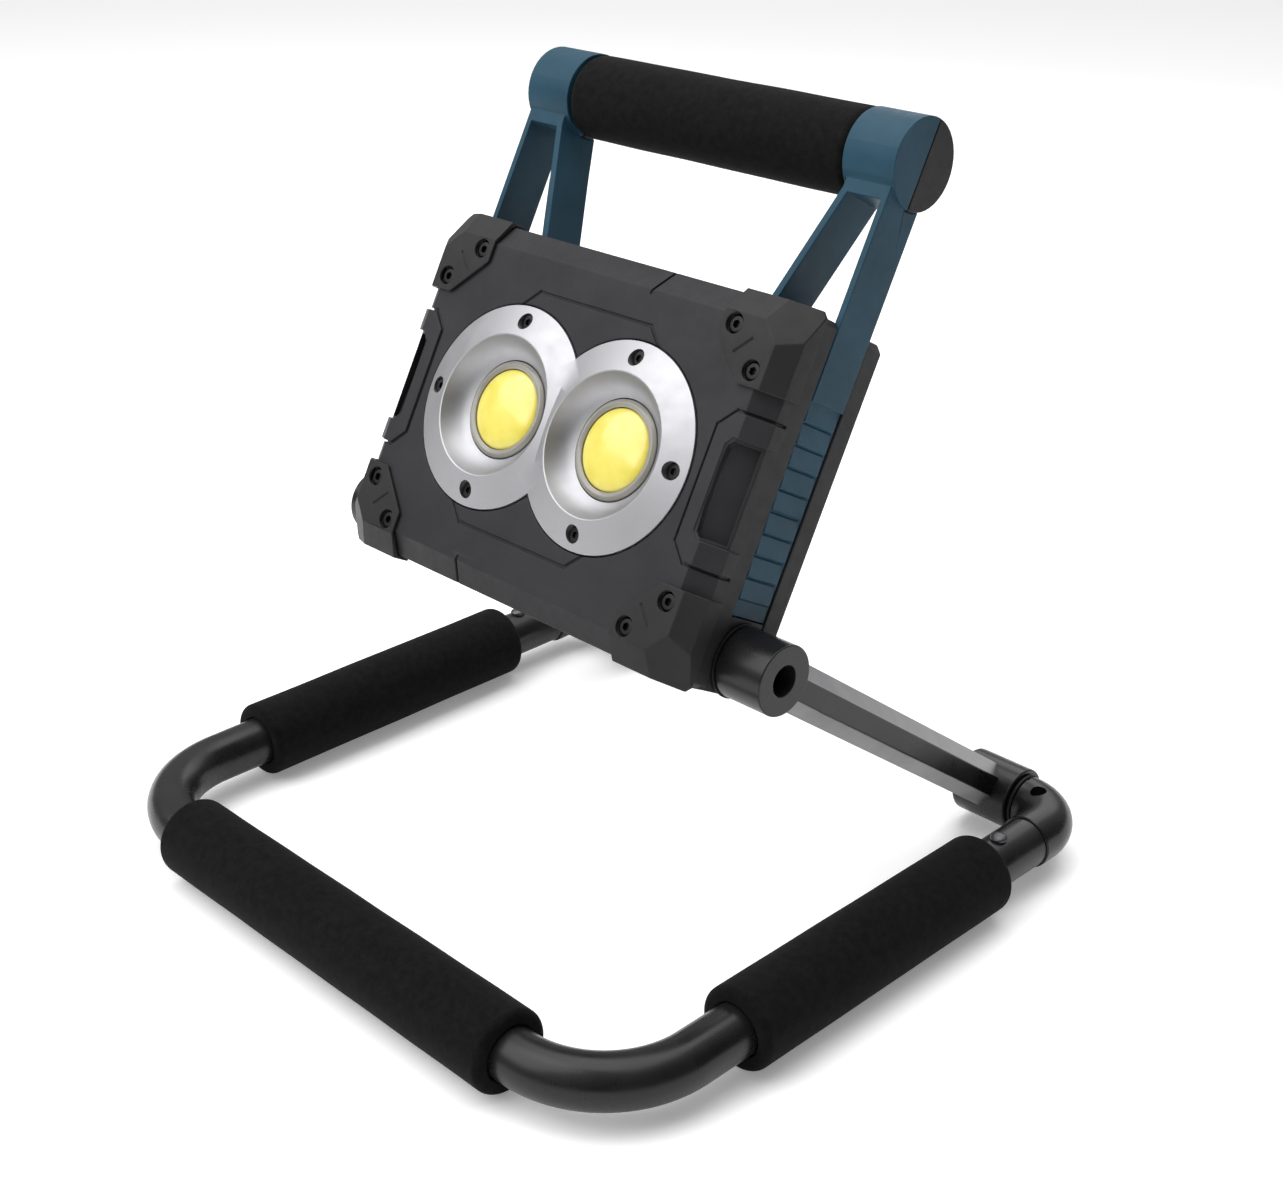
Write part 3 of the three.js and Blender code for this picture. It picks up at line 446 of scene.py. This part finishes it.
def rounded_path(corners, radius, steps):
    """(point, tangent) stations along straight lines joined by quarter bends."""
    stations = []
    last = len(corners) - 1
    for i, corner in enumerate(corners):
        if i in (0, last):
            other = corners[1] - corners[0] if i == 0 else corners[last] - corners[last - 1]
            stations.append((corner, other.normalized()))
            continue
        arriving = (corner - corners[i - 1]).normalized()
        leaving = (corners[i + 1] - corner).normalized()
        centre = corner - arriving * radius + leaving * radius
        for k in range(steps + 1):
            angle = math.pi / 2 * k / steps
            point = centre - leaving * radius * math.cos(angle) + arriving * radius * math.sin(angle)
            tangent = arriving * math.cos(angle) + leaving * math.sin(angle)
            stations.append((point, tangent.normalized()))
    return stations


def link(name, mesh, placement=None):
    made = bpy.data.objects.new(name, mesh)
    made.matrix_world = placement if placement is not None else Matrix.Identity(4)
    scene.collection.objects.link(made)
    return made


def mesh_from(name, bm):
    mesh = bpy.data.meshes.new(name)
    bm.to_mesh(mesh)
    bm.free()
    return mesh


def baked(made):
    """Applies an object's modifiers to its mesh."""
    bpy.context.view_layer.update()
    graph = bpy.context.evaluated_depsgraph_get()
    mesh = bpy.data.meshes.new_from_object(made.evaluated_get(graph))
    made.modifiers.clear()
    made.data = mesh
    return made


def combine(made, operation, *tools):
    """Boolean of an object with tool meshes given as (bmesh, placement in the object's frame)."""
    cutters = []
    for bm, placement in tools:
        cutter = link("tool", mesh_from("tool", bm), made.matrix_world @ placement)
        modifier = made.modifiers.new("boolean", "BOOLEAN")
        modifier.object = cutter
        modifier.operation = operation
        modifier.solver = "EXACT"
        cutters.append(cutter)
    baked(made)
    for cutter in cutters:
        bpy.data.objects.remove(cutter)
    return made


def shade(made, flat_above=38):
    """Smooth shading that keeps flat faces flat and edges above an angle sharp."""
    mesh = made.data
    mesh.polygons.foreach_set("use_smooth", [True] * len(mesh.polygons))
    mesh.set_sharp_from_angle(angle=math.radians(flat_above))
    modifier = made.modifiers.new("flat_faces", "WEIGHTED_NORMAL")
    modifier.keep_sharp = True
    modifier.weight = 80
    return made


def round_edges(bm, width, segments=3, sharper_than=22):
    """Rounds each edge sharper than an angle and leaves only sound faces of up to four sides."""
    limit = math.radians(sharper_than)
    edges = [e for e in bm.edges if len(e.link_faces) == 2 and e.calc_face_angle(0) > limit]
    bmesh.ops.bevel(bm, geom=edges, offset=width * MM, offset_type="OFFSET", segments=segments,
                    profile=0.5, affect="EDGES", clamp_overlap=False, loop_slide=False,
                    miter_outer="SHARP", miter_inner="SHARP")
    sliver = 0.002 * MM
    for clearing in range(2):
        bmesh.ops.dissolve_degenerate(bm, dist=sliver, edges=bm.edges)
        many_sided = [f for f in bm.faces if len(f.verts) > 4]
        bmesh.ops.triangulate(bm, faces=many_sided, quad_method="BEAUTY", ngon_method="BEAUTY")
    bm.verts.index_update()
    corners = {}
    for face in bm.faces:
        corners.setdefault(frozenset(v.index for v in face.verts), []).append(face)
    folded_back = [f for faces in corners.values() if len(faces) > 1 for f in faces]
    bmesh.ops.delete(bm, geom=folded_back, context="FACES")
    return bm


def dress(made, body, slot, nodes=(), look=None):
    """Gives a piece its material, by its look or else by its slot name, puts it on its body and
    hides the CAD nodes it stands for.
    """
    made.data.materials.clear()
    made.data.materials.append(MATERIALS[look or slot])
    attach(made, body)
    if nodes:
        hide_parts(*nodes)
    return made


def face_planes(across=(), up=(), out=()):
    """Planes in the face frame, as (point, normal), from places in millimetres."""
    planes = [(Vector((x * MM, 0, 0)), X_AXIS) for x in across]
    planes += [(FACE @ Vector((0, v * MM, 0)), face_up) for v in up]
    return planes + [(FACE @ Vector((0, 0, z * MM)), face_out) for z in out]


def whole(bm):
    return list(bm.verts) + list(bm.edges) + list(bm.faces)


def refined(node, body, slot, width, planes=(), look=None):
    """A CAD node's own shape with its edges rounded.

    The planes pass through the shape's holes, so that no flat face is left with a hole in it.
    """
    bm = bmesh.new()
    bm.from_mesh(frame["nodes"][node].data)
    bmesh.ops.remove_doubles(bm, verts=bm.verts, dist=0.004 * MM)
    for point, normal in planes:
        sliced = bmesh.ops.bisect_plane(bm, geom=whole(bm), dist=1e-7, plane_co=point,
                                        plane_no=normal)
        for item in sliced["geom_cut"]:
            if isinstance(item, bmesh.types.BMEdge):
                item.seam = True
    bmesh.ops.dissolve_limit(bm, angle_limit=math.radians(0.6), verts=bm.verts, edges=bm.edges,
                             delimit={"SEAM"})
    bmesh.ops.recalc_face_normals(bm, faces=bm.faces)
    round_edges(bm, width)
    made = shade(link(node + "_shell", mesh_from(node, bm)))
    return dress(made, body, slot, (node,), look)


# ------------------------------------------------------------------ stand
tube_low, tube_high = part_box("base_tube")
foam_low, foam_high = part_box("foam_right")
TUBE_R = 9.35 * MM
WALL = 1.5 * MM
CORNER_R = 38 * MM
GRIP_R = 15.2
GRIP_BORE_R = 9.4
SLEEVE_SLACK = 0.3
DRAIN_X = 121.2 * MM
DRAIN_Y = 115.5 * MM
RIVET_R = 3.15
RIVET_SHANK_R = 1.55
RIVET_RIM = 0.45
axis_z = (foam_low.z + foam_high.z) / 2
tube_x = tube_high.x - TUBE_R
front_y = tube_low.y + TUBE_R


def stand_tube():
    """The bent tube, hollow, with a cut end on each side."""
    corners = [Vector((-tube_x, tube_high.y, axis_z)), Vector((-tube_x, front_y, axis_z)),
               Vector((tube_x, front_y, axis_z)), Vector((tube_x, tube_high.y, axis_z))]
    path = rounded_path(corners, CORNER_R, 20)
    sides = 48
    bm, outside = swept([(p, t, TUBE_R) for p, t in path], sides)
    bm, inside = swept([(p, t, TUBE_R - WALL) for p, t in path], sides, bm)
    for end in (0, -1):
        joined(bm, outside[end], inside[end])
    bmesh.ops.recalc_face_normals(bm, faces=bm.faces)
    made = shade(link("stand_tube", mesh_from("stand_tube", bm)))
    dress(made, "root", "tube_black", ("base_tube",))


def foam_sleeve(node, body, axis, seen_from, seed):
    """A foam tube with soft rounded ends, its skin very slightly uneven."""
    low, high = extent(node, seen_from)
    centre = (low + high) / 2
    half = (high[axis] - low[axis]) / 2 / MM
    radius = (high.z - low.z) / 2 / MM if body == "root" else GRIP_R
    bore = TUBE_R / MM + SLEEVE_SLACK if body == "root" else GRIP_BORE_R
    ends = fillet([(bore, -half), (radius, -half), (radius, half), (bore, half)],
                  [0.8, 3.2, 3.2, 0.8], 7)
    outline = []
    longest_piece = 5
    for (r0, h0), (r1, h1) in zip(ends, ends[1:] + ends[:1]):
        pieces = max(1, round(abs(h1 - h0) / longest_piece))
        for k in range(pieces):
            outline.append((r0 + (r1 - r0) * k / pieces, h0 + (h1 - h0) * k / pieces))
    bm = lathe(outline, 96)
    for vert in bm.verts:
        flat = Vector((vert.co.x, vert.co.y, 0))
        if flat.length < (bore + 1.2) * MM:
            continue
        angle = math.atan2(vert.co.y, vert.co.x)
        along = vert.co.z / MM
        wave = math.sin(along / 11 + seed) * math.cos(2 * angle + seed)
        wave += 0.6 * math.sin(along / 6.3 - seed) * math.cos(3 * angle - seed)
        uneven = flat.length - (0.10 + 0.07 * wave) * MM
        vert.co.x, vert.co.y = flat.normalized().xy * uneven
    turn = ALONG_X if axis == 0 else ALONG_Y
    spot = seen_from @ Matrix.Translation(centre) @ turn
    made = shade(link(node + "_sleeve", mesh_from(node, bm), spot))
    dress(made, body, "foam", (node,))


def elbow(side, node):
    """Cast elbow: a rounded collar over the tube's end, a tight bend and a stub for the arm."""
    low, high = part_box(node)
    sign = SIDES[side]
    radius, bend, lip, gap = 10.1 * MM, 16 * MM, 0.7 * MM, 0.3 * MM
    stub_x = min(abs(low.x), abs(high.x))
    rear_y = lower_pivot.y
    start_y = tube_high.y + gap
    corners = [Vector((sign * tube_x, start_y, axis_z)), Vector((sign * tube_x, rear_y, axis_z)),
               Vector((sign * stub_x, rear_y, axis_z))]
    path = rounded_path(corners, bend, 14)
    stations = [(p, t, radius) for p, t in path[1:-1]]
    lip_steps = 4
    for (point, tangent), inwards in ((path[0], 1), (path[-1], -1)):
        rim = []
        for k in range(lip_steps + 1):
            angle = math.pi / 2 * k / lip_steps
            spot = point + tangent * inwards * lip * (1 - math.cos(angle))
            rim.append((spot, tangent, radius - lip + lip * math.sin(angle)))
        stations = rim + stations if inwards > 0 else stations + rim[::-1]
    bm, rings = swept(stations, 48)
    bm.faces.new(list(reversed(rings[0])))
    bm.faces.new(rings[-1])
    bmesh.ops.recalc_face_normals(bm, faces=bm.faces)
    made = link(node + "_casting", mesh_from(node, bm))
    drain = place(sign * DRAIN_X, DRAIN_Y, axis_z)
    bolt = place(sign * (stub_x - MM), rear_y, axis_z) @ outward(side)
    spigot = place(sign * tube_x, start_y + MM, axis_z) @ Matrix.Rotation(math.pi / 2, 4, "X")
    combine(made, "UNION", (lathe(disc_profile(6.9, 0, 27, 0, 0.8)), spigot))
    combine(made, "DIFFERENCE", (lathe(disc_profile(3.0, 6.5, 14, 0, 0), 40), drain),
            (lathe(disc_profile(4.3, 0, 9.5, 0, 0), 40), bolt))
    dress(shade(made), "root", "tube_black", (node,))


def rivet(node):
    """A domed rivet head on its shank, standing on the tube."""
    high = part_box(node)[1]
    base = axis_z + TUBE_R
    rise = (high.z - base) / MM
    outline = [(0, -6), (RIVET_SHANK_R, -6), (RIVET_SHANK_R, 0.1), (RIVET_R - 0.05, 0.1),
               (RIVET_R, RIVET_RIM)]
    steps = 8
    for k in range(1, steps + 1):
        angle = math.pi / 2 * k / steps
        height = RIVET_RIM + (rise - RIVET_RIM) * math.sin(angle)
        outline.append((RIVET_R * math.cos(angle), height))
    spot = place(*middle_of(node, UNMOVED), base)
    made = link(node + "_dome", mesh_from(node, lathe(outline, 48)), spot)
    dress(shade(made), "root", "bright_steel", (node,), "dull_steel")


stand_tube()
foam_sleeve("foam_front", "root", 0, UNMOVED, 0.4)
foam_sleeve("foam_left", "root", 1, UNMOVED, 1.9)
foam_sleeve("foam_right", "root", 1, UNMOVED, 3.1)
for side in SIDES:
    elbow(side, "elbow_" + side)
    rivet("tube_rivet_" + side)
    refined("rear_pivot_screw_" + side, "root", "black_steel", 0.2)


# ------------------------------------------------------------------ arms
BOSS_R = 12.2
KNUCKLE_R = 12.2
BAR_INNER, BAR_OUTER = 95.0, 105.35  # distances from the middle, in millimetres
BAR_RIDGE, BAR_FLAT = 8.85, 3.65  # half heights of the bar's ridge and of its flats


def cast_arm(side, node):
    """One cast lever: hexagonal bar, boss at the head and knuckle at the stand, black all over but
    for painted reflection on the bar's slanted facets.
    """
    flush = 0.12  # the bar's outer flat lies this far inside the boss's face
    middle = (BAR_INNER + BAR_OUTER) / 2
    section = [(BAR_INNER, -BAR_FLAT), (middle, -BAR_RIDGE), (BAR_OUTER - flush, -BAR_FLAT),
               (BAR_OUTER - flush, BAR_FLAT), (middle, BAR_RIDGE), (BAR_INNER, BAR_FLAT)]
    section = [(SIDES[side] * x, -z) for x, z in section]
    overlap = 7  # the bar's ends stop inside the boss and knuckle, outside their holes
    bar = round_edges(prism(section, overlap, ARM_LENGTH / MM - overlap), 0.45, 3, 20)
    stand_up = Matrix.Rotation(-math.pi / 2, 4, "X")
    made = link(node + "_casting", mesh_from(node, bar), ARM @ stand_up)
    screw_r, head_r, seat, boss_start = 3.4, 5.35, 92, 86.4
    boss = fillet([(screw_r, boss_start), (BOSS_R, boss_start), (BOSS_R, BAR_OUTER),
                   (head_r, BAR_OUTER), (head_r, seat), (screw_r, seat)], [0, 0.5, 0.5, 0.3, 0, 0])
    bush_r, pin_r, knuckle_start, knuckle_end = 6.0, 8.5, 87.5, 111.6
    knuckle = fillet([(pin_r, knuckle_start), (KNUCKLE_R, knuckle_start), (KNUCKLE_R, knuckle_end),
                      (bush_r, knuckle_end), (bush_r, seat), (pin_r, seat)],
                     [0.2, 1.4, 0.8, 0.3, 0, 0])
    into_bar = stand_up.inverted()
    at_boss = into_bar @ place(0, ARM_LENGTH) @ outward(side)
    at_knuckle = into_bar @ outward(side)
    combine(made, "UNION", (lathe(boss), at_boss), (lathe(knuckle), at_knuckle))
    dress(shade(made), "arms", "arm_cast", (node,), "boss_black")
    # Painted reflection: the bar's slanted facets take a paler metallic copy of the black coat
    made.data.materials.append(MATERIALS["arm_cast"])
    for polygon in made.data.polygons:
        along = abs(polygon.center.z)
        on_bar = BOSS_R * MM < along < ARM_LENGTH - BOSS_R * MM * 0.9
        slanted = abs(polygon.normal.y) > 0.5 and abs(polygon.normal.x) > 0.2
        polygon.material_index = 1 if on_bar and slanted else 0


def bush(side, node):
    """Flanged nylon bush in the knuckle, round the stand's pivot screw."""
    bore_r, sleeve_r, flange_r = 4.4, 5.6, 10.5
    start, shoulder, end = 92.3, 111.9, 113.3
    outline = fillet([(bore_r, start), (sleeve_r, start), (sleeve_r, shoulder),
                      (flange_r, shoulder), (flange_r, end), (bore_r, end)],
                     [0, 0.2, 0, 0.4, 0.4, 0.2])
    made = link(node + "_turned", mesh_from(node, lathe(outline, 64)), ARM @ outward(side))
    dress(shade(made), "arms", "nylon_black", (node,))


for side in SIDES:
    cast_arm(side, "arm_" + side)
    bush(side, "knuckle_bush_" + side)


# ------------------------------------------------------------------ head shells and handle
LAMP_X, LAMP_V = middle_of("phosphor_right", FACE)
PLATE_SCREW_R = 30.8 * MM  # the plate screws' distance from the middle of their lamp


def both_sides(*places):
    return [sign * place for place in places for sign in (1, -1)]


def shell_planes():
    """Planes through the front shell's windows, bores and ribs."""
    screws = [middle_of(f"guard_screw_{number}", FACE) for number in (1, 2)]
    screw_x = [x / MM for x, v in screws]
    screw_v = [v / MM for x, v in screws]
    lamp_x, lamp_v, screw_ring = LAMP_X / MM, LAMP_V / MM, PLATE_SCREW_R / MM
    rib_x, pocket_x, rib_v = 58, 75.5, 24
    across = [0] + both_sides(lamp_x, rib_x, pocket_x, *screw_x)
    up = [lamp_v, lamp_v + screw_ring, lamp_v - screw_ring, PIVOT_V / MM]
    return face_planes(across, up + both_sides(rib_v, *screw_v), (0, 5))


def bracket_planes():
    """Planes through the blue frame's brackets, cap rings, pivots and windows."""
    leg_x, outer_leg_x = 72, 76
    grip_v, leg_roof_v, gap_v, shoulder_v, sill_v = 119.2, 110, 84, 58, -35
    up = (0, gap_v, PIVOT_V / MM, shoulder_v, grip_v, leg_roof_v, sill_v)
    return face_planes([0] + both_sides(leg_x, outer_leg_x), up, (0, -5))


refined("front_housing", "head", "plastic_black", 0.34, shell_planes())
refined("handle_frame", "head", "plastic_blue", 0.34, bracket_planes())
refined("back_cover", "head", "plastic_black", 0.4, face_planes((0, 38), (-20, 0)))
for number in range(1, 5):
    refined(f"corner_guard_{number}", "head", "guard_plastic", 0.34)
for side in SIDES:
    refined("handle_cap_" + side, "head", "plastic_black", 0.35)
foam_sleeve("grip_foam", "head", 0, FACE, 5.2)
refined("socket_flap", "flap", "rubber_black", 0.3)


# ------------------------------------------------------------------ reflector and light sources
def plate_screw_spots():
    for sign in (-1, 1):
        for degrees in (90, 0, -90):
            angle = math.radians(degrees)
            x = sign * (LAMP_X + PLATE_SCREW_R * math.cos(angle))
            yield x, LAMP_V + PLATE_SCREW_R * math.sin(angle)


def reflector():
    """Two spun rings cut where they meet and joined as one plate."""
    bowl = [(17.8, 26.3), (19.6, 27.0), (21.3, 28.2), (22.8, 29.9), (24.1, 32.0), (24.8, 33.5)]
    lip = [(25.0, 33.85), (25.4, 34.0), (25.9, 33.9)]
    rim = [(36.0, 30.85), (36.35, 30.7), (36.46, 30.4), (36.46, 28.75)]
    under = [(27.2, 28.75), (27.2, 27.4), (19.8, 24.4), (17.8, 24.4)]
    halves = bmesh.new()
    for sign in (1, -1):
        ring = lathe(bowl + lip + rim + under, 144)
        bmesh.ops.translate(ring, verts=ring.verts, vec=(sign * LAMP_X, LAMP_V, 0))
        bmesh.ops.bisect_plane(ring, geom=whole(ring), dist=1e-7, plane_co=(0, 0, 0),
                               plane_no=(-sign, 0, 0), clear_outer=True)
        part = mesh_from("part", ring)
        halves.from_mesh(part)
        bpy.data.meshes.remove(part)
    seam = [v for v in halves.verts if abs(v.co.x) < 1e-6]
    bmesh.ops.remove_doubles(halves, verts=seam, dist=2e-6)
    bmesh.ops.recalc_face_normals(halves, faces=halves.faces)
    made = link("reflector_spun", mesh_from("reflector", halves), FACE)
    bore_r, sink_r, seat = 1.75, 3.1, 29.1
    sink = [(0, 26), (bore_r, 26), (bore_r, seat), (sink_r, seat), (sink_r, 36), (0, 36)]
    holes = [(lathe(sink, 40), place(x, y)) for x, y in plate_screw_spots()]
    combine(made, "DIFFERENCE", *holes)
    shade(made, 30)
    dress(made, "head", "satin_aluminium", ("reflector_plate",))


def socket_screw_mesh(name, head_r, shank_r, low, seat, top, socket_r):
    """A socket-head screw, in millimetres, standing on its own axis."""
    outline = fillet([(0, low), (shank_r, low), (shank_r, seat), (head_r, seat), (head_r, top),
                      (0, top)], [0, 0.3, 0, 0.15, 0.45, 0])
    made = link(name, mesh_from(name, lathe(outline, 48)))
    floor_z = top - 0.6 * (top - seat)
    combine(made, "DIFFERENCE", (prism(regular(socket_r, 6), floor_z, top + 1), UNMOVED))
    baked(shade(made))
    mesh = made.data
    bpy.data.objects.remove(made)
    return mesh


def face_screws(kind, count, mesh):
    """Puts the same screw in each place of a numbered set of screws."""
    for number in range(1, count + 1):
        node = f"{kind}_{number}"
        made = link(node + "_socket_head", mesh, FACE @ place(*middle_of(node, FACE)))
        dress(made, "head", "black_steel", (node,))


def light_source(side):
    """A clear retaining ring round a low dome of phosphor gel."""
    spot = FACE @ place(SIDES[side] * LAMP_X, LAMP_V)
    base, inner_r, outer_r = 23.9, 14.5, 17.4
    ring = fillet([(inner_r, base), (outer_r, base), (outer_r, 26.6), (16.0, 27.6), (inner_r, 27.0)],
                  [0.1, 0.1, 0.7, 0.9, 0.3], 5)
    made = link("lens_ring_" + side + "_clear", mesh_from("lens_ring", lathe(ring)), spot)
    dress(shade(made), "head", "clear_plastic", ("lens_ring_" + side,))
    dome_r, brim, crown, steps = 14.3, 26.2, 2.6, 12
    dome = [(0, base), (dome_r, base), (dome_r, brim)]
    for k in range(steps + 1):
        angle = math.radians(4 + 86 * k / steps)
        dome.append((dome_r * math.cos(angle), brim + crown * math.sin(angle)))
    made = link("phosphor_" + side + "_dome", mesh_from("phosphor", lathe(dome)), spot)
    dress(shade(made), "head", "phosphor", ("phosphor_" + side,))


reflector()
face_screws("reflector_screw", 6,
            socket_screw_mesh("plate_screw", 2.75, 1.3, 25.5, 29.2, 30.9, 1.35))
face_screws("guard_screw", 8, socket_screw_mesh("guard_screw", 2.85, 1.5, 22.2, 28.0, 30.6, 1.5))
for side in SIDES:
    light_source(side)


# ------------------------------------------------------------------ pivots and button
def pivot_screw(side):
    """Socket screw through the boss into the head's frame."""
    node = "pivot_screw_" + side
    shank_r, head_r, tip, seat, top = 3, 4.9, 69, 92.4, 98.3
    outline = fillet([(0, tip), (shank_r, tip), (shank_r, seat), (head_r, seat), (head_r, top),
                      (0, top)], [0, 0.3, 0, 0.2, 0.5, 0])
    spot = FACE @ place(0, PIVOT_V) @ outward(side)
    made = link(node + "_socket_head", mesh_from(node, lathe(outline, 48)), spot)
    combine(made, "DIFFERENCE", (prism(regular(2.6, 6), 95, 99), UNMOVED))
    dress(shade(made), "head", "black_steel", (node,))


def washer(side):
    """Friction washer between the head and the boss."""
    node = "friction_washer_" + side
    outline = disc_profile(12.8, 85.3, 86.1, 0.2, 0.2, 3.5)
    spot = FACE @ place(0, PIVOT_V) @ outward(side)
    made = link(node + "_ring", mesh_from(node, lathe(outline, 72)), spot)
    dress(shade(made), "head", "nylon_black", (node,))


def button():
    """Rubber button with a dished cap, a raised ring on it and a flange inside the cover."""
    crown = extent("power_button", FACE)[0].z / MM
    cap_r, flange_r, shoulder, back = 7.6, 9.1, -15.0, -14.0
    outline = fillet([(0, crown + 0.5), (5.6, crown + 0.15), (cap_r, crown + 0.5),
                      (cap_r, shoulder), (flange_r, shoulder), (flange_r, back), (0, back)],
                     [0, 1.2, 0.7, 0, 0.2, 0.2, 0], 5)
    spot = FACE @ place(*middle_of("power_button", FACE))
    made = link("power_button_cap", mesh_from("button", lathe(outline, 72)), spot)
    ring_inner, ring_outer, ring_top, ring_base = 3.0, 3.7, crown + 0.15, crown + 1
    ring = fillet([(ring_inner, ring_top), (ring_outer, ring_top), (ring_outer, ring_base),
                   (ring_inner, ring_base)], 0.1)
    combine(made, "UNION", (lathe(ring, 64), UNMOVED))
    dress(shade(made), "button", "rubber_black", ("power_button",))


for side in SIDES:
    pivot_screw(side)
    washer(side)
button()

# Inner pieces keep their CAD shape and take a finished surface.
INNER_FINISH = {
    "handle_tube": "bare_aluminium",
    "housing_seal": "rubber_black",
    "cob_board_left": "led_board",
    "cob_board_right": "led_board",
    "heat_sink": "bare_aluminium",
    "driver_board": "circuit_board",
    "battery_cell_1": "cell_wrap",
    "battery_cell_2": "cell_wrap",
    "switch_body": "plastic_black",
    "charge_socket": "bright_steel",
}
for node, look in INNER_FINISH.items():
    inner = frame["nodes"][node]
    inner.data.materials.clear()
    inner.data.materials.append(MATERIALS[look])


# ------------------------------------------------------------------ studio
def floor():
    bm = bmesh.new()
    bmesh.ops.create_grid(bm, x_segments=8, y_segments=8, size=20.0)
    made = link("floor", mesh_from("floor", bm), place(0, 0, -0.2 * MM))
    material, tree, shader, co = surface("floor_paper", (0.93, 0.93, 0.93), 0.6)
    shader.inputs["Specular IOR Level"].default_value = 0.15
    shader.inputs["Emission Color"].default_value = (1, 1, 1, 1)
    shader.inputs["Emission Strength"].default_value = 0.22
    fibres = bump(tree, noise(tree, co, 900.0), 0.02 * MM, strength=0.2)
    tree.links.new(fibres, shader.inputs["Normal"])
    made.data.materials.append(material)


def softbox(name, location, target, size, power):
    lamp = bpy.data.lights.new(name, "AREA")
    lamp.shape = "RECTANGLE"
    lamp.size, lamp.size_y = size
    lamp.energy = power
    made = bpy.data.objects.new(name, lamp)
    made.location = location
    made.rotation_mode = "QUATERNION"
    aim = Vector(target) - Vector(location)
    made.rotation_quaternion = aim.to_track_quat("-Z", "Y")
    scene.collection.objects.link(made)


def sky():
    """A light tent: bright overhead, dimmer low down, dark on the right, pale when looked at."""
    world = bpy.data.worlds.new("tent")
    scene.world = world
    world.use_nodes = True
    tree = world.node_tree
    co = node_of(tree, "ShaderNodeTexCoord").outputs["Generated"]
    split = node_of(tree, "ShaderNodeSeparateXYZ")
    tree.links.new(co, split.inputs[0])
    height = ramp(tree, split.outputs["Z"], 0.05, 0.75, 0, 1)
    overhead = mix_colour(tree, height, (0.20, 0.20, 0.21), (1.0, 1.0, 1.0))
    right = ramp(tree, split.outputs["X"], 0.15, 0.75, 0, 1)
    tent = mix_colour(tree, right, overhead, (0.03, 0.03, 0.033))
    seen_directly = node_of(tree, "ShaderNodeLightPath").outputs["Is Camera Ray"]
    colour = mix_colour(tree, seen_directly, tent, (0.80, 0.80, 0.80))
    background = tree.nodes["Background"]
    tree.links.new(colour, background.inputs["Color"])
    background.inputs["Strength"].default_value = 0.85


def camera():
    azimuth, elevation, roll = math.radians(45.51), math.radians(25.47), math.radians(-0.15)
    back = Vector((math.sin(azimuth) * math.cos(elevation),
                   -math.cos(azimuth) * math.cos(elevation), math.sin(elevation)))
    data = bpy.data.cameras.new("camera")
    data.sensor_width = 36
    data.lens = 55.57
    data.clip_start = 0.01
    made = bpy.data.objects.new("camera", data)
    made.location = (0.4700, -0.4340, 0.4079)
    made.rotation_mode = "QUATERNION"
    level = (-back).to_track_quat("-Z", "Y")
    made.rotation_quaternion = level @ Matrix.Rotation(roll, 4, "Z").to_quaternion()
    scene.collection.objects.link(made)
    scene.camera = made


floor()
sky()
softbox("key", (-0.6, -0.9, 1.3), (0, 0, 0.1), (1.5, 1.5), 18)
softbox("top", (-0.1, 0.2, 1.5), (0, 0, 0.1), (1.4, 1.4), 14)
softbox("back", (-0.3, 1.1, 0.8), (0, 0, 0.15), (0.9, 0.6), 3)
camera()
scene.view_settings.view_transform = "Standard"
scene.view_settings.look = "None"
